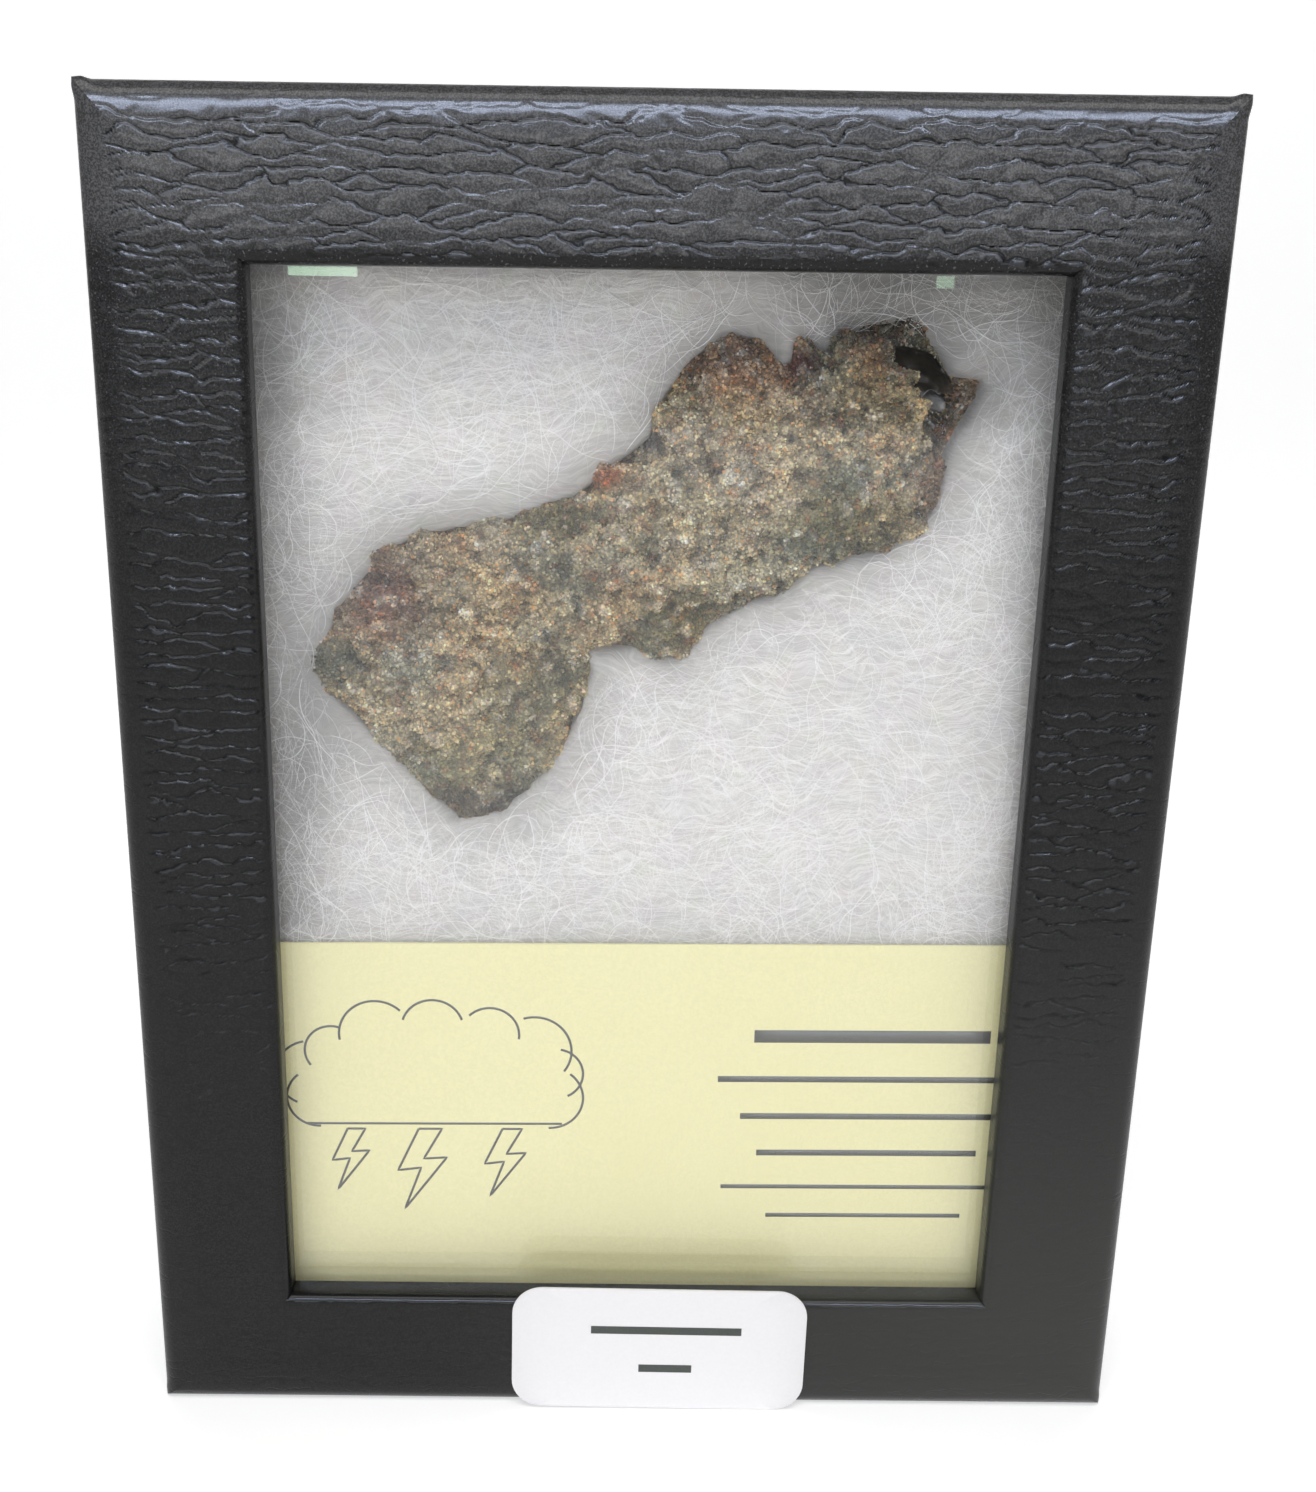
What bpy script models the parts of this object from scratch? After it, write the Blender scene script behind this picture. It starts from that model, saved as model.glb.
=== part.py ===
"""A fulgurite in a small glass-fronted display box, standing on its lower edge.

Metres, +Z up.  The origin is the middle of the box's footprint.  The glass faces -Y, +X is to its right.
Depths are counted from the box's face towards its back and turned into Y by depth().
"""

import itertools
import math

import bmesh
import bpy
import numpy as np

MM = 0.001

# ---- the box ----
BOX_WIDTH = 82.55 * MM
BOX_HEIGHT = 107.95 * MM
BOX_DEPTH = 19.05 * MM
LID_DEPTH = 18.45 * MM
LID_WALL = 1.4 * MM
FACE_BOARD = 2.3 * MM
OUTER_ROUNDING = 2.3 * MM
WINDOW_ROUNDING = 0.9 * MM
ROUNDING_STEPS = 5
WINDOW_LEFT, WINDOW_RIGHT = -29.7 * MM, 29.7 * MM
WINDOW_FOOT, WINDOW_HEAD = 10.9 * MM, 95.7 * MM
EAR_REACH = 0.9 * MM
EAR_SPAN = 2.2 * MM

# ---- what the lid closes over ----
SLIDING_GAP = 0.35 * MM
TOUCHING_GAP = 0.3 * MM
GLASS_FRONT = FACE_BOARD + 0.25 * MM
GLASS_THICKNESS = 1.95 * MM
GLASS_BACK = GLASS_FRONT + GLASS_THICKNESS
TRAY_WALL = 1.2 * MM
TRAY_FLOOR = 1.6 * MM
TRAY_ROUNDING = 0.8 * MM
CARD_WIDTH = 70.0 * MM
CARD_HEIGHT = 37.0 * MM
CARD_THICKNESS = 0.3 * MM
CARD_MIDDLE = (1.5 * MM, 23.6 * MM)
CARD_TILT = math.radians(0.45)
BATTING_FRONT = GLASS_BACK + 0.5 * MM
CARD_BED_HEAD = 43.2 * MM

# ---- the price sticker on the lower rail ----
STICKER_WIDTH = 25.4 * MM
STICKER_HEIGHT = 11.9 * MM
STICKER_THICKNESS = 0.15 * MM
STICKER_GAP = 0.1 * MM
STICKER_CORNER = 2.6 * MM
STICKER_MIDDLE = (2.0 * MM, 6.15 * MM)
STICKER_TILT = math.radians(-0.5)

# ---- the fulgurite: a crushed glass tube crusted with sand ----
# Each row is one section across the tube, from the blade end to the tip of its mouth:
# upper edge x and z, lower edge x and z, depth of the front half, depth of the back half (all mm).
TUBE_SECTIONS = np.array(
    [
        (-27.4, 64.2, -15.6, 51.3, 1.2, 1.2),
        (-26.3, 66.4, -11.8, 52.1, 2.0, 1.8),
        (-25.3, 69.0, -7.8, 55.8, 2.8, 2.5),
        (-23.7, 71.1, -5.8, 59.4, 3.2, 2.9),
        (-21.8, 73.6, -4.8, 62.4, 3.5, 3.2),
        (-18.3, 75.7, -4.3, 64.6, 3.7, 3.5),
        (-14.0, 76.3, -5.0, 66.3, 3.9, 3.6),
        (-9.5, 77.2, -3.2, 66.5, 3.9, 3.6),
        (-6.3, 78.7, -0.6, 66.6, 4.0, 3.7),
        (-3.2, 81.2, 2.2, 65.8, 4.1, 3.8),
        (-0.3, 83.5, 4.6, 68.2, 4.1, 3.9),
        (0.5, 86.2, 7.6, 70.2, 4.2, 3.9),
        (2.8, 89.4, 11.2, 71.6, 4.2, 3.9),
        (5.2, 91.2, 12.8, 73.2, 4.2, 3.9),
        (8.2, 90.8, 15.2, 73.9, 4.2, 3.9),
        (9.9, 88.4, 17.0, 74.4, 4.1, 3.9),
        (11.6, 90.2, 18.7, 74.8, 4.1, 3.9),
        (13.4, 89.9, 20.6, 75.9, 4.1, 3.9),
        (15.2, 91.8, 22.2, 77.8, 4.0, 3.9),
        (17.9, 92.4, 22.9, 80.2, 3.9, 3.8),
        (21.1, 92.4, 23.4, 82.4, 3.4, 3.6),
        (22.2, 90.6, 24.2, 83.9, 2.6, 3.2),
        (23.3, 88.6, 25.0, 85.2, 1.8, 2.4),
        (25.9, 88.2, 25.8, 86.8, 1.0, 1.3),
    ]
)
TUBE_MIDDLE_DEPTH = 9.6
SECTION_POWER = 0.95
BLADE_ROUNDING = 0.8
END_LEAN = 1.2
ROWS_OUTSIDE = 84
ROWS_INSIDE = 13
COLUMNS = 44
EVENING = 0.2
FRONT_RIM, BACK_RIM = 18.9, 23.0
BORE_END = 13.5
TUBE_WALL = 1.1
FOLD_DEPTH = 1.3
KNOB_SIZES = ((2.5, 1.3), (1.35, 0.5))
KNOB_LEVEL = 0.6
KNOB_TABLE = 16
PIERCING = (22.5, 85.9)
PIERCING_RADIUS = 1.15

# ---- the bed pressed into the batting ----
BED_SECTIONS = (0, 2, 4, 8, 10, 12, 13, 16, 19, 21, 23)
BED_MARGIN = 2.2
BED_DEPTH = 14.7 * MM


def clear_scene():
    for item in list(bpy.data.objects):
        bpy.data.objects.remove(item, do_unlink=True)
    for mesh in list(bpy.data.meshes):
        bpy.data.meshes.remove(mesh)


def new_collection(name):
    collection = bpy.data.collections.new(name)
    bpy.context.scene.collection.children.link(collection)
    return collection


def finish_material(name, colour, roughness, metallic=0.0, transmission=0.0):
    material = bpy.data.materials.new(name)
    material.use_nodes = True
    shader = material.node_tree.nodes["Principled BSDF"]
    shader.inputs["Base Color"].default_value = (*colour, 1.0)
    shader.inputs["Roughness"].default_value = roughness
    shader.inputs["Metallic"].default_value = metallic
    shader.inputs["Transmission Weight"].default_value = transmission
    material.diffuse_color = (*colour, 1.0)
    return material


def depth(from_face):
    """The world Y of a plane that lies from_face behind the box's face."""
    return from_face - BOX_DEPTH / 2


def add_object(name, mesh, collection, material=None):
    item = bpy.data.objects.new(name, mesh)
    collection.objects.link(item)
    if material is not None:
        mesh.materials.append(material)
    return item


def block_mesh(name, size):
    """A box of the given size about its own middle."""
    builder = bmesh.new()
    bmesh.ops.create_cube(builder, size=1.0)
    bmesh.ops.scale(builder, vec=size, verts=builder.verts)
    mesh = bpy.data.meshes.new(name)
    builder.to_mesh(mesh)
    builder.free()
    return mesh


def add_block(name, low, high, collection, material=None):
    """A box between two corners."""
    size = [b - a for a, b in zip(low, high)]
    item = add_object(name, block_mesh(name, size), collection, material)
    item.location = [(a + b) / 2 for a, b in zip(low, high)]
    return item


def make_cutter(item):
    item.hide_render = True
    item.display_type = "WIRE"
    return item


def cut(item, cutter):
    modifier = item.modifiers.new("cut " + cutter.name, "BOOLEAN")
    modifier.operation = "DIFFERENCE"
    modifier.object = make_cutter(cutter)


def grid_faces(rows, columns):
    """Quads of a grid whose columns close into a ring, wound so that they face outwards."""
    i, j = np.meshgrid(np.arange(rows - 1), np.arange(columns), indexing="ij")
    k = (j + 1) % columns
    quads = np.stack([i * columns + j, i * columns + k, (i + 1) * columns + k, (i + 1) * columns + j], axis=-1)
    return quads.reshape(-1, 4)


def mesh_from_grid(name, points):
    """A closed surface from a grid of points in metres; coinciding points are merged."""
    rows, columns = points.shape[:2]
    mesh = bpy.data.meshes.new(name)
    mesh.from_pydata(points.reshape(-1, 3).tolist(), [], grid_faces(rows, columns).tolist())
    builder = bmesh.new()
    builder.from_mesh(mesh)
    bmesh.ops.remove_doubles(builder, verts=builder.verts, dist=1e-6)
    bmesh.ops.recalc_face_normals(builder, faces=builder.faces)
    builder.to_mesh(mesh)
    builder.free()
    return mesh


# ---- lid: a cardboard lid wrapped in black paper, with a window cut in its face ----


def quarter_round(middle, radius, start, steps):
    """Points on a quarter circle about middle, from the angle start onwards."""
    angles = start + np.linspace(0.0, math.pi / 2, steps + 1)
    return [(middle[0] + radius * math.cos(a), middle[1] + radius * math.sin(a)) for a in angles]


def lid_profile(border):
    """The rail's section: distance out from the window's edge, and depth behind the face."""
    window_edge = quarter_round((WINDOW_ROUNDING, WINDOW_ROUNDING), WINDOW_ROUNDING, math.pi, ROUNDING_STEPS)
    outer_middle = (border - OUTER_ROUNDING, OUTER_ROUNDING)
    outer_edge = quarter_round(outer_middle, OUTER_ROUNDING, -math.pi / 2, ROUNDING_STEPS)
    inner = border - LID_WALL
    back = [(border, LID_DEPTH), (inner, LID_DEPTH), (inner, FACE_BOARD), (0.0, FACE_BOARD)]
    return np.array(window_edge + outer_edge + back)


def lid_mesh():
    """The rail's section carried round the window with mitred corners; each outer corner has a small ear."""
    side = BOX_WIDTH / 2 - WINDOW_RIGHT
    head = BOX_HEIGHT - WINDOW_HEAD
    foot = WINDOW_FOOT
    corners = [
        ((WINDOW_RIGHT, WINDOW_FOOT), (1, -1), (side, foot)),
        ((WINDOW_RIGHT, WINDOW_HEAD), (1, 1), (side, head)),
        ((WINDOW_LEFT, WINDOW_HEAD), (-1, 1), (side, head)),
        ((WINDOW_LEFT, WINDOW_FOOT), (-1, -1), (side, foot)),
    ]
    rings = []
    for number, (inner, away, borders) in enumerate(corners):
        across, up = lid_profile(borders[0]), lid_profile(borders[1])
        ring = np.stack([inner[0] + away[0] * across[:, 0], across[:, 1], inner[1] + away[1] * up[:, 0]], axis=1)
        ear = ROUNDING_STEPS + 1 + ROUNDING_STEPS // 2
        lift = EAR_REACH if away[1] > 0 else 0.0
        eared = ring.copy()
        eared[ear : ear + 2] += (away[0] * EAR_REACH, 0.0, lift)
        along_x = np.array((-away[0] * EAR_SPAN, 0.0, 0.0))
        along_z = np.array((0.0, 0.0, -away[1] * EAR_SPAN))
        outside = np.zeros(len(ring))
        outside[ROUNDING_STEPS + 1 : -1] = 1.0
        beside_x = ring + outside[:, None] * along_x
        beside_z = ring + outside[:, None] * along_z
        rings += [beside_x, eared, beside_z] if number % 2 == 0 else [beside_z, eared, beside_x]
    points = np.array(rings)
    points[:, :, 1] -= BOX_DEPTH / 2
    return mesh_from_grid("lid_frame", np.concatenate([points, points[:1]]))


def add_lid(parts, material):
    lid = add_object("lid_frame", lid_mesh(), parts, material)
    lid.data.shade_smooth()
    lid.data.set_sharp_from_angle(angle=math.radians(40))
    return lid


# ---- glass pane behind the window ----


def add_glass(parts, material):
    reach = LID_WALL + TOUCHING_GAP
    low = (-BOX_WIDTH / 2 + reach, depth(GLASS_FRONT), reach)
    high = (BOX_WIDTH / 2 - reach, depth(GLASS_BACK), BOX_HEIGHT - reach)
    return add_block("glass_pane", low, high, parts, material)


# ---- tray that slides into the lid from behind ----


def add_tray(parts, cutters, material):
    reach = LID_WALL + SLIDING_GAP
    front = GLASS_BACK + TOUCHING_GAP
    low = (-BOX_WIDTH / 2 + reach, depth(front), reach)
    high = (BOX_WIDTH / 2 - reach, depth(BOX_DEPTH), BOX_HEIGHT - reach)
    tray = add_block("base_tray", low, high, parts, material)
    builder = bmesh.new()
    builder.from_mesh(tray.data)
    weight = builder.edges.layers.float.new("bevel_weight_edge")
    for edge in builder.edges:
        if all(vertex.co.y > 0 for vertex in edge.verts):
            edge[weight] = 1.0
    builder.to_mesh(tray.data)
    builder.free()
    bevel = tray.modifiers.new("rounded back edges", "BEVEL")
    bevel.limit_method = "WEIGHT"
    bevel.width = TRAY_ROUNDING
    bevel.segments = 3
    room_low = (low[0] + TRAY_WALL, low[1] - TRAY_WALL, low[2] + TRAY_WALL)
    room_high = (high[0] - TRAY_WALL, high[1] - TRAY_FLOOR, high[2] - TRAY_WALL)
    cut(tray, add_block("tray_room", room_low, room_high, cutters))
    return tray


# ---- fulgurite ----


def smooth_step(value):
    value = np.clip(value, 0.0, 1.0)
    return value * value * (3.0 - 2.0 * value)


def through_rows(rows, t):
    """A Catmull-Rom curve through the rows, read at t, which counts rows from 0."""
    i = np.clip(np.floor(t).astype(int), 0, len(rows) - 2)
    f = (t - i)[..., None]
    a, b = rows[np.maximum(i - 1, 0)], rows[i]
    c, d = rows[i + 1], rows[np.minimum(i + 2, len(rows) - 1)]
    return b + 0.5 * f * (c - a + f * (2 * a - 5 * b + 4 * c - d + f * (3 * (b - c) + d - a)))


def tube_point(t, angle, wall=0.0, closing=1.0):
    """The tube's skin at section t and angle: 0 at the upper edge, a quarter turn at the front.

    Across the section the point follows cos(angle), in depth |sin(angle)| to a power, so the edges are
    sharper than an ellipse's.  wall draws it in by a wall's thickness and closing shrinks the section.
    """
    row = through_rows(TUBE_SECTIONS, t)
    upper, lower = row[..., 0:2], row[..., 2:4]
    middle, half = (upper + lower) / 2, (upper - lower) / 2
    width = np.linalg.norm(half, axis=-1)
    inset = np.minimum(wall, 0.42 * width)
    in_plane = middle + half * ((1 - inset / width) * closing * np.cos(angle))[..., None]
    front = np.sin(angle) > 0
    blade = np.sqrt(1 - (1 - np.clip(t / BLADE_ROUNDING, 0, 1)) ** 2)
    reach = np.where(front, row[..., 4], row[..., 5])
    reach = (reach - np.minimum(wall, 0.6 * reach)) * blade * closing
    out = np.abs(np.sin(angle)) ** SECTION_POWER * reach
    x, z = in_plane[..., 0], in_plane[..., 1]
    fold_line = 68.3 - 2.1 * smooth_step((x + 12.0) / 8.0)
    fold = FOLD_DEPTH * smooth_step((fold_line - z) / 1.0) * smooth_step((x + 18.0) / 7.0)
    fold *= 1 - 0.6 * smooth_step((fold_line - z) / 13.0)
    beyond_fork = smooth_step((-3.2 - x) / 1.2)
    out = np.where(front, out - np.minimum(fold * beyond_fork, 0.5 * out), out)
    y = TUBE_MIDDLE_DEPTH + np.where(front, -out, out)
    return np.stack([x, y, z], axis=-1)


def knobs(points, size, table):
    """Rounded knobs, one in each cell of a jittered lattice: 1 minus the squared distance to the nearest."""
    cell = points / size
    corner = np.floor(cell)
    nearest = np.full(points.shape[:-1], 9.0)
    for step in itertools.product((-1, 0, 1), repeat=3):
        place = corner + step
        i = np.mod(place, KNOB_TABLE).astype(int)
        centre = place + table[i[..., 0], i[..., 1], i[..., 2]]
        nearest = np.minimum(nearest, ((cell - centre) ** 2).sum(axis=-1))
    return np.clip(1.0 - nearest, 0.0, 1.0)


def outward(t, angle):
    """The way that lumps stand out: round the section with its angle, and backwards at the blade end."""
    row = through_rows(TUBE_SECTIONS, t)
    half = row[..., 0:2] - row[..., 2:4]
    half = half / np.linalg.norm(half, axis=-1, keepdims=True)
    end = 1.0 - smooth_step(t / 1.2)
    x = half[..., 0] * np.cos(angle) - END_LEAN * end * half[..., 1]
    z = half[..., 1] * np.cos(angle) + END_LEAN * end * half[..., 0]
    way = np.stack([x, (end - 1.0) * np.sin(angle), z], axis=-1)
    return way / np.linalg.norm(way, axis=-1, keepdims=True)


def fulgurite_points():
    """The tube's outside from the blade end to the broken rim, and its bore from the rim back in."""
    turn = np.linspace(0.0, 2 * math.pi, COLUMNS, endpoint=False)[None, :]
    angle = turn + EVENING * np.sin(2 * turn)
    rim = FRONT_RIM + (BACK_RIM - FRONT_RIM) * smooth_step((0.15 - np.sin(angle)) / 0.5)
    s = np.linspace(0.0, 1.0, ROWS_OUTSIDE)[:, None]
    t = s * rim
    around = np.broadcast_to(angle, t.shape)
    outside = tube_point(t, around)
    way = outward(t, around)
    table = np.random.default_rng(7).random((KNOB_TABLE,) * 3 + (3,))
    slender = np.clip((BACK_RIM + 1.0 - t) / 5.0, 0.2, 1.0)[..., None]
    for size, height in KNOB_SIZES:
        bump = knobs(outside, size, table) - KNOB_LEVEL
        rougher = 0.8 + 0.8 * np.cos(around[..., None]) ** 4
        outside = outside + way * (height * bump[..., None] * slender * rougher)
    s = np.linspace(0.0, 1.0, ROWS_INSIDE)[:, None]
    t = rim + (BORE_END - rim) * s
    closing = np.sqrt(1.0 - s**3)
    inside = tube_point(t, np.broadcast_to(angle, t.shape), TUBE_WALL, np.broadcast_to(closing, t.shape))
    return np.concatenate([outside, inside])


def add_fulgurite(parts, cutters, material):
    points = fulgurite_points() * MM
    points[..., 1] -= BOX_DEPTH / 2
    stone = add_object("fulgurite", mesh_from_grid("fulgurite", points), parts, material)
    stone.data.shade_smooth()
    builder = bmesh.new()
    length = 8 * MM
    bmesh.ops.create_cone(
        builder,
        cap_ends=True,
        segments=12,
        radius1=PIERCING_RADIUS * MM,
        radius2=PIERCING_RADIUS * MM * 0.9,
        depth=length,
    )
    mesh = bpy.data.meshes.new("piercing")
    builder.to_mesh(mesh)
    builder.free()
    piercing = add_object("piercing", mesh, cutters)
    piercing.rotation_euler = (math.pi / 2, 0.0, 0.0)
    piercing.location = (PIERCING[0] * MM, depth(TUBE_MIDDLE_DEPTH * MM) + length / 2, PIERCING[1] * MM)
    cut(stone, piercing)
    return stone


# ---- batting, with a bed for the card and one for the fulgurite ----


def bed_outline():
    """The fulgurite's outline, each section lengthened by the margin and both ends moved out by it."""
    rows = TUBE_SECTIONS[list(BED_SECTIONS)]
    upper, lower = rows[:, 0:2], rows[:, 2:4]
    reach = upper - lower
    reach = reach / np.linalg.norm(reach, axis=1, keepdims=True) * BED_MARGIN
    upper, lower = upper + reach, lower - reach
    for end, sign in ((0, -1), (-1, 1)):
        outward = sign * np.array((reach[end, 1], -reach[end, 0]))
        upper[end] += outward
        lower[end] += outward
    return np.concatenate([upper, lower[::-1]]) * MM


def add_bed_cutter(cutters):
    outline = bed_outline()
    builder = bmesh.new()
    front = depth(BATTING_FRONT) - 1 * MM
    ring = [builder.verts.new((x, front, z)) for x, z in outline]
    face = builder.faces.new(ring)
    swept = bmesh.ops.extrude_face_region(builder, geom=[face])
    moved = [item for item in swept["geom"] if isinstance(item, bmesh.types.BMVert)]
    bmesh.ops.translate(builder, vec=(0.0, depth(BED_DEPTH) - front, 0.0), verts=moved)
    bmesh.ops.recalc_face_normals(builder, faces=builder.faces)
    mesh = bpy.data.meshes.new("fulgurite_bed")
    builder.to_mesh(mesh)
    builder.free()
    return add_object("fulgurite_bed", mesh, cutters)


def add_batting(parts, cutters, material):
    reach = LID_WALL + SLIDING_GAP + TRAY_WALL + TOUCHING_GAP
    low = (-BOX_WIDTH / 2 + reach, depth(BATTING_FRONT), reach)
    high = (BOX_WIDTH / 2 - reach, depth(BOX_DEPTH - TRAY_FLOOR - TOUCHING_GAP), BOX_HEIGHT - reach)
    batting = add_block("fibre_batting", low, high, parts, material)
    cut(batting, add_bed_cutter(cutters))
    card_back = GLASS_BACK + 2 * TOUCHING_GAP + CARD_THICKNESS
    bed_low = (-BOX_WIDTH / 2, depth(0.0), -1 * MM)
    bed_high = (BOX_WIDTH / 2, depth(card_back), CARD_BED_HEAD)
    cut(batting, add_block("card_bed", bed_low, bed_high, cutters))
    return batting


# ---- printed card and price sticker ----


def add_card(parts, material):
    size = (CARD_WIDTH, CARD_THICKNESS, CARD_HEIGHT)
    card = add_object("label_card", block_mesh("label_card", size), parts, material)
    middle = GLASS_BACK + TOUCHING_GAP + CARD_THICKNESS / 2
    card.location = (CARD_MIDDLE[0], depth(middle), CARD_MIDDLE[1])
    card.rotation_euler = (0.0, -CARD_TILT, 0.0)
    return card


def add_sticker(parts, material):
    """A rounded rectangle, as a filled flat curve extruded to the label's thickness."""
    curve = bpy.data.curves.new("price_sticker", "CURVE")
    curve.dimensions = "2D"
    curve.fill_mode = "BOTH"
    curve.extrude = STICKER_THICKNESS / 2
    spline = curve.splines.new("POLY")
    across, up = STICKER_WIDTH / 2 - STICKER_CORNER, STICKER_HEIGHT / 2 - STICKER_CORNER
    corners = [(across, up, 0.0), (-across, up, 90.0), (-across, -up, 180.0), (across, -up, 270.0)]
    outline = []
    for x, z, start in corners:
        outline += quarter_round((x, z), STICKER_CORNER, math.radians(start), 6)
    spline.points.add(len(outline) - 1)
    for point, (x, z) in zip(spline.points, outline):
        point.co = (x, z, 0.0, 1.0)
    spline.use_cyclic_u = True
    sticker = bpy.data.objects.new("price_sticker", curve)
    curve.materials.append(material)
    parts.objects.link(sticker)
    out = depth(0.0) - STICKER_GAP - STICKER_THICKNESS / 2
    sticker.location = (STICKER_MIDDLE[0], out, STICKER_MIDDLE[1])
    sticker.rotation_euler = (math.pi / 2, STICKER_TILT, 0.0)
    return sticker


def build():
    clear_scene()
    parts = new_collection("fulgurite display box")
    cutters = new_collection("cutters")
    wrap = finish_material("black_wrap", (0.022, 0.022, 0.026), 0.45)
    tray_wrap = finish_material("tray_wrap", (0.02, 0.02, 0.022), 0.6)
    glass = finish_material("clear_glass", (0.95, 0.98, 0.97), 0.02, transmission=1.0)
    fibre = finish_material("white_fibre", (0.72, 0.71, 0.72), 0.95)
    card = finish_material("yellow_card", (0.84, 0.77, 0.50), 0.7)
    paper = finish_material("white_paper", (0.86, 0.85, 0.9), 0.5)
    sand_glass = finish_material("sand_glass", (0.27, 0.22, 0.16), 0.85)
    add_lid(parts, wrap)
    add_glass(parts, glass)
    add_tray(parts, cutters, tray_wrap)
    add_batting(parts, cutters, fibre)
    add_card(parts, card)
    add_fulgurite(parts, cutters, sand_glass)
    add_sticker(parts, paper)


build()
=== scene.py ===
"""A fulgurite in its small glass-fronted display box: the looks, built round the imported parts.

Shapes are worked out in millimetres as (x, depth behind the box's face, z) and turned into metres by
new_mesh().  The sections follow the box as it is put together, from the tray to the sticker.
"""

import itertools
import math

import bmesh
import bpy
import numpy as np
from mathutils import Matrix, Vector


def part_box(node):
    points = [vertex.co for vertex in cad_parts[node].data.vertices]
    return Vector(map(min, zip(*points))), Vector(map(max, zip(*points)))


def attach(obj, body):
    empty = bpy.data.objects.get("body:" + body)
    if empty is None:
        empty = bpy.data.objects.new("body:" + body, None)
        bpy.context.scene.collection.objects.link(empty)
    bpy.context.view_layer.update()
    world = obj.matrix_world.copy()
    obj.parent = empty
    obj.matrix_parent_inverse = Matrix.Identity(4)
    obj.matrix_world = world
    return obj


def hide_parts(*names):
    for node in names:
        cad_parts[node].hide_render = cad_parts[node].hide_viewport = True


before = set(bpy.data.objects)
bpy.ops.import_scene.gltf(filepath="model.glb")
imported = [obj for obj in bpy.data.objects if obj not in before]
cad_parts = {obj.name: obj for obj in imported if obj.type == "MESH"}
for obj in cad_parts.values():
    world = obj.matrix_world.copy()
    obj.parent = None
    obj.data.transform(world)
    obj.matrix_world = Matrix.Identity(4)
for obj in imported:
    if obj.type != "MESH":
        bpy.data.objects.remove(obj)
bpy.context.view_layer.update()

# ---- tray ----
# A shallow cardboard tray wrapped in black embossed paper.  It slides into the lid from behind, and its
# flat back is the back of the box.  The paper's grain and creases are shared with the lid.

MM = 0.001
BACK_DEPTH = 19.05


def add_node(tree, kind, inputs=None, **settings):
    """A node with its settings and inputs; an input that is given a socket is linked to it."""
    node = tree.nodes.new(kind)
    for name, value in settings.items():
        setattr(node, name, value)
    for name, value in (inputs or {}).items():
        if isinstance(value, bpy.types.NodeSocket):
            tree.links.new(value, node.inputs[name])
        else:
            node.inputs[name].default_value = value
    return node


def math_node(tree, operation, first, second=0.0, clamp=False):
    """The output of one Math node."""
    node = add_node(tree, "ShaderNodeMath", {0: first, 1: second}, operation=operation, use_clamp=clamp)
    return node.outputs[0]


def blend_colours(tree, factor, first, second, mode="MIX"):
    """The output of one Mix node for colours; 6 and 7 are its two colour inputs."""
    inputs = {0: factor, 6: first, 7: second}
    return add_node(tree, "ShaderNodeMix", inputs, data_type="RGBA", blend_type=mode).outputs[2]


def soft_range(tree, value, low, high, floor=0.0, ceiling=1.0):
    """value turned from low..high into floor..ceiling with an S-curve."""
    node = add_node(tree, "ShaderNodeMapRange", {0: value, 1: low, 2: high, 3: floor, 4: ceiling})
    node.interpolation_type = "SMOOTHSTEP"
    return node.outputs[0]


def object_place(tree):
    """The output that holds each point's place on its object, in metres."""
    return add_node(tree, "ShaderNodeTexCoord").outputs["Object"]


def noise_texture(tree, place, scale, detail):
    """A Noise node over the given places."""
    return add_node(tree, "ShaderNodeTexNoise", {"Vector": place, "Scale": scale, "Detail": detail})


def scaled(tree, vector, factor):
    """A colour or a vector times a number."""
    return add_node(tree, "ShaderNodeVectorMath", {0: vector, "Scale": factor}, operation="SCALE").outputs[0]


def add_relief(tree, shader, height, strength, depth):
    """Fine relief in a shader's normal; depth is what a height of one stands for, in mm."""
    bump = add_node(tree, "ShaderNodeBump", {"Height": height, "Strength": strength, "Distance": depth * MM})
    tree.links.new(bump.outputs[0], shader.inputs["Normal"])


def new_material(name, roughness, **inputs):
    """A material, its node tree and its Principled shader, with plain inputs set."""
    material = bpy.data.materials.new(name)
    material.use_nodes = True
    tree = material.node_tree
    shader = tree.nodes["Principled BSDF"]
    shader.inputs["Roughness"].default_value = roughness
    for socket, value in inputs.items():
        shader.inputs[socket.replace("_", " ")].default_value = value
    return material, tree, shader


def make_group(name, inputs, outputs):
    """An empty shader node group with float inputs (name: value) and outputs (name: socket type)."""
    group = bpy.data.node_groups.new(name, "ShaderNodeTree")
    for label, value in inputs.items():
        socket = group.interface.new_socket(label, in_out="INPUT", socket_type="NodeSocketFloat")
        socket.default_value = value
    for label, kind in outputs.items():
        group.interface.new_socket(label, in_out="OUTPUT", socket_type=kind)
    return group, group.nodes.new("NodeGroupInput"), group.nodes.new("NodeGroupOutput")


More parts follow.
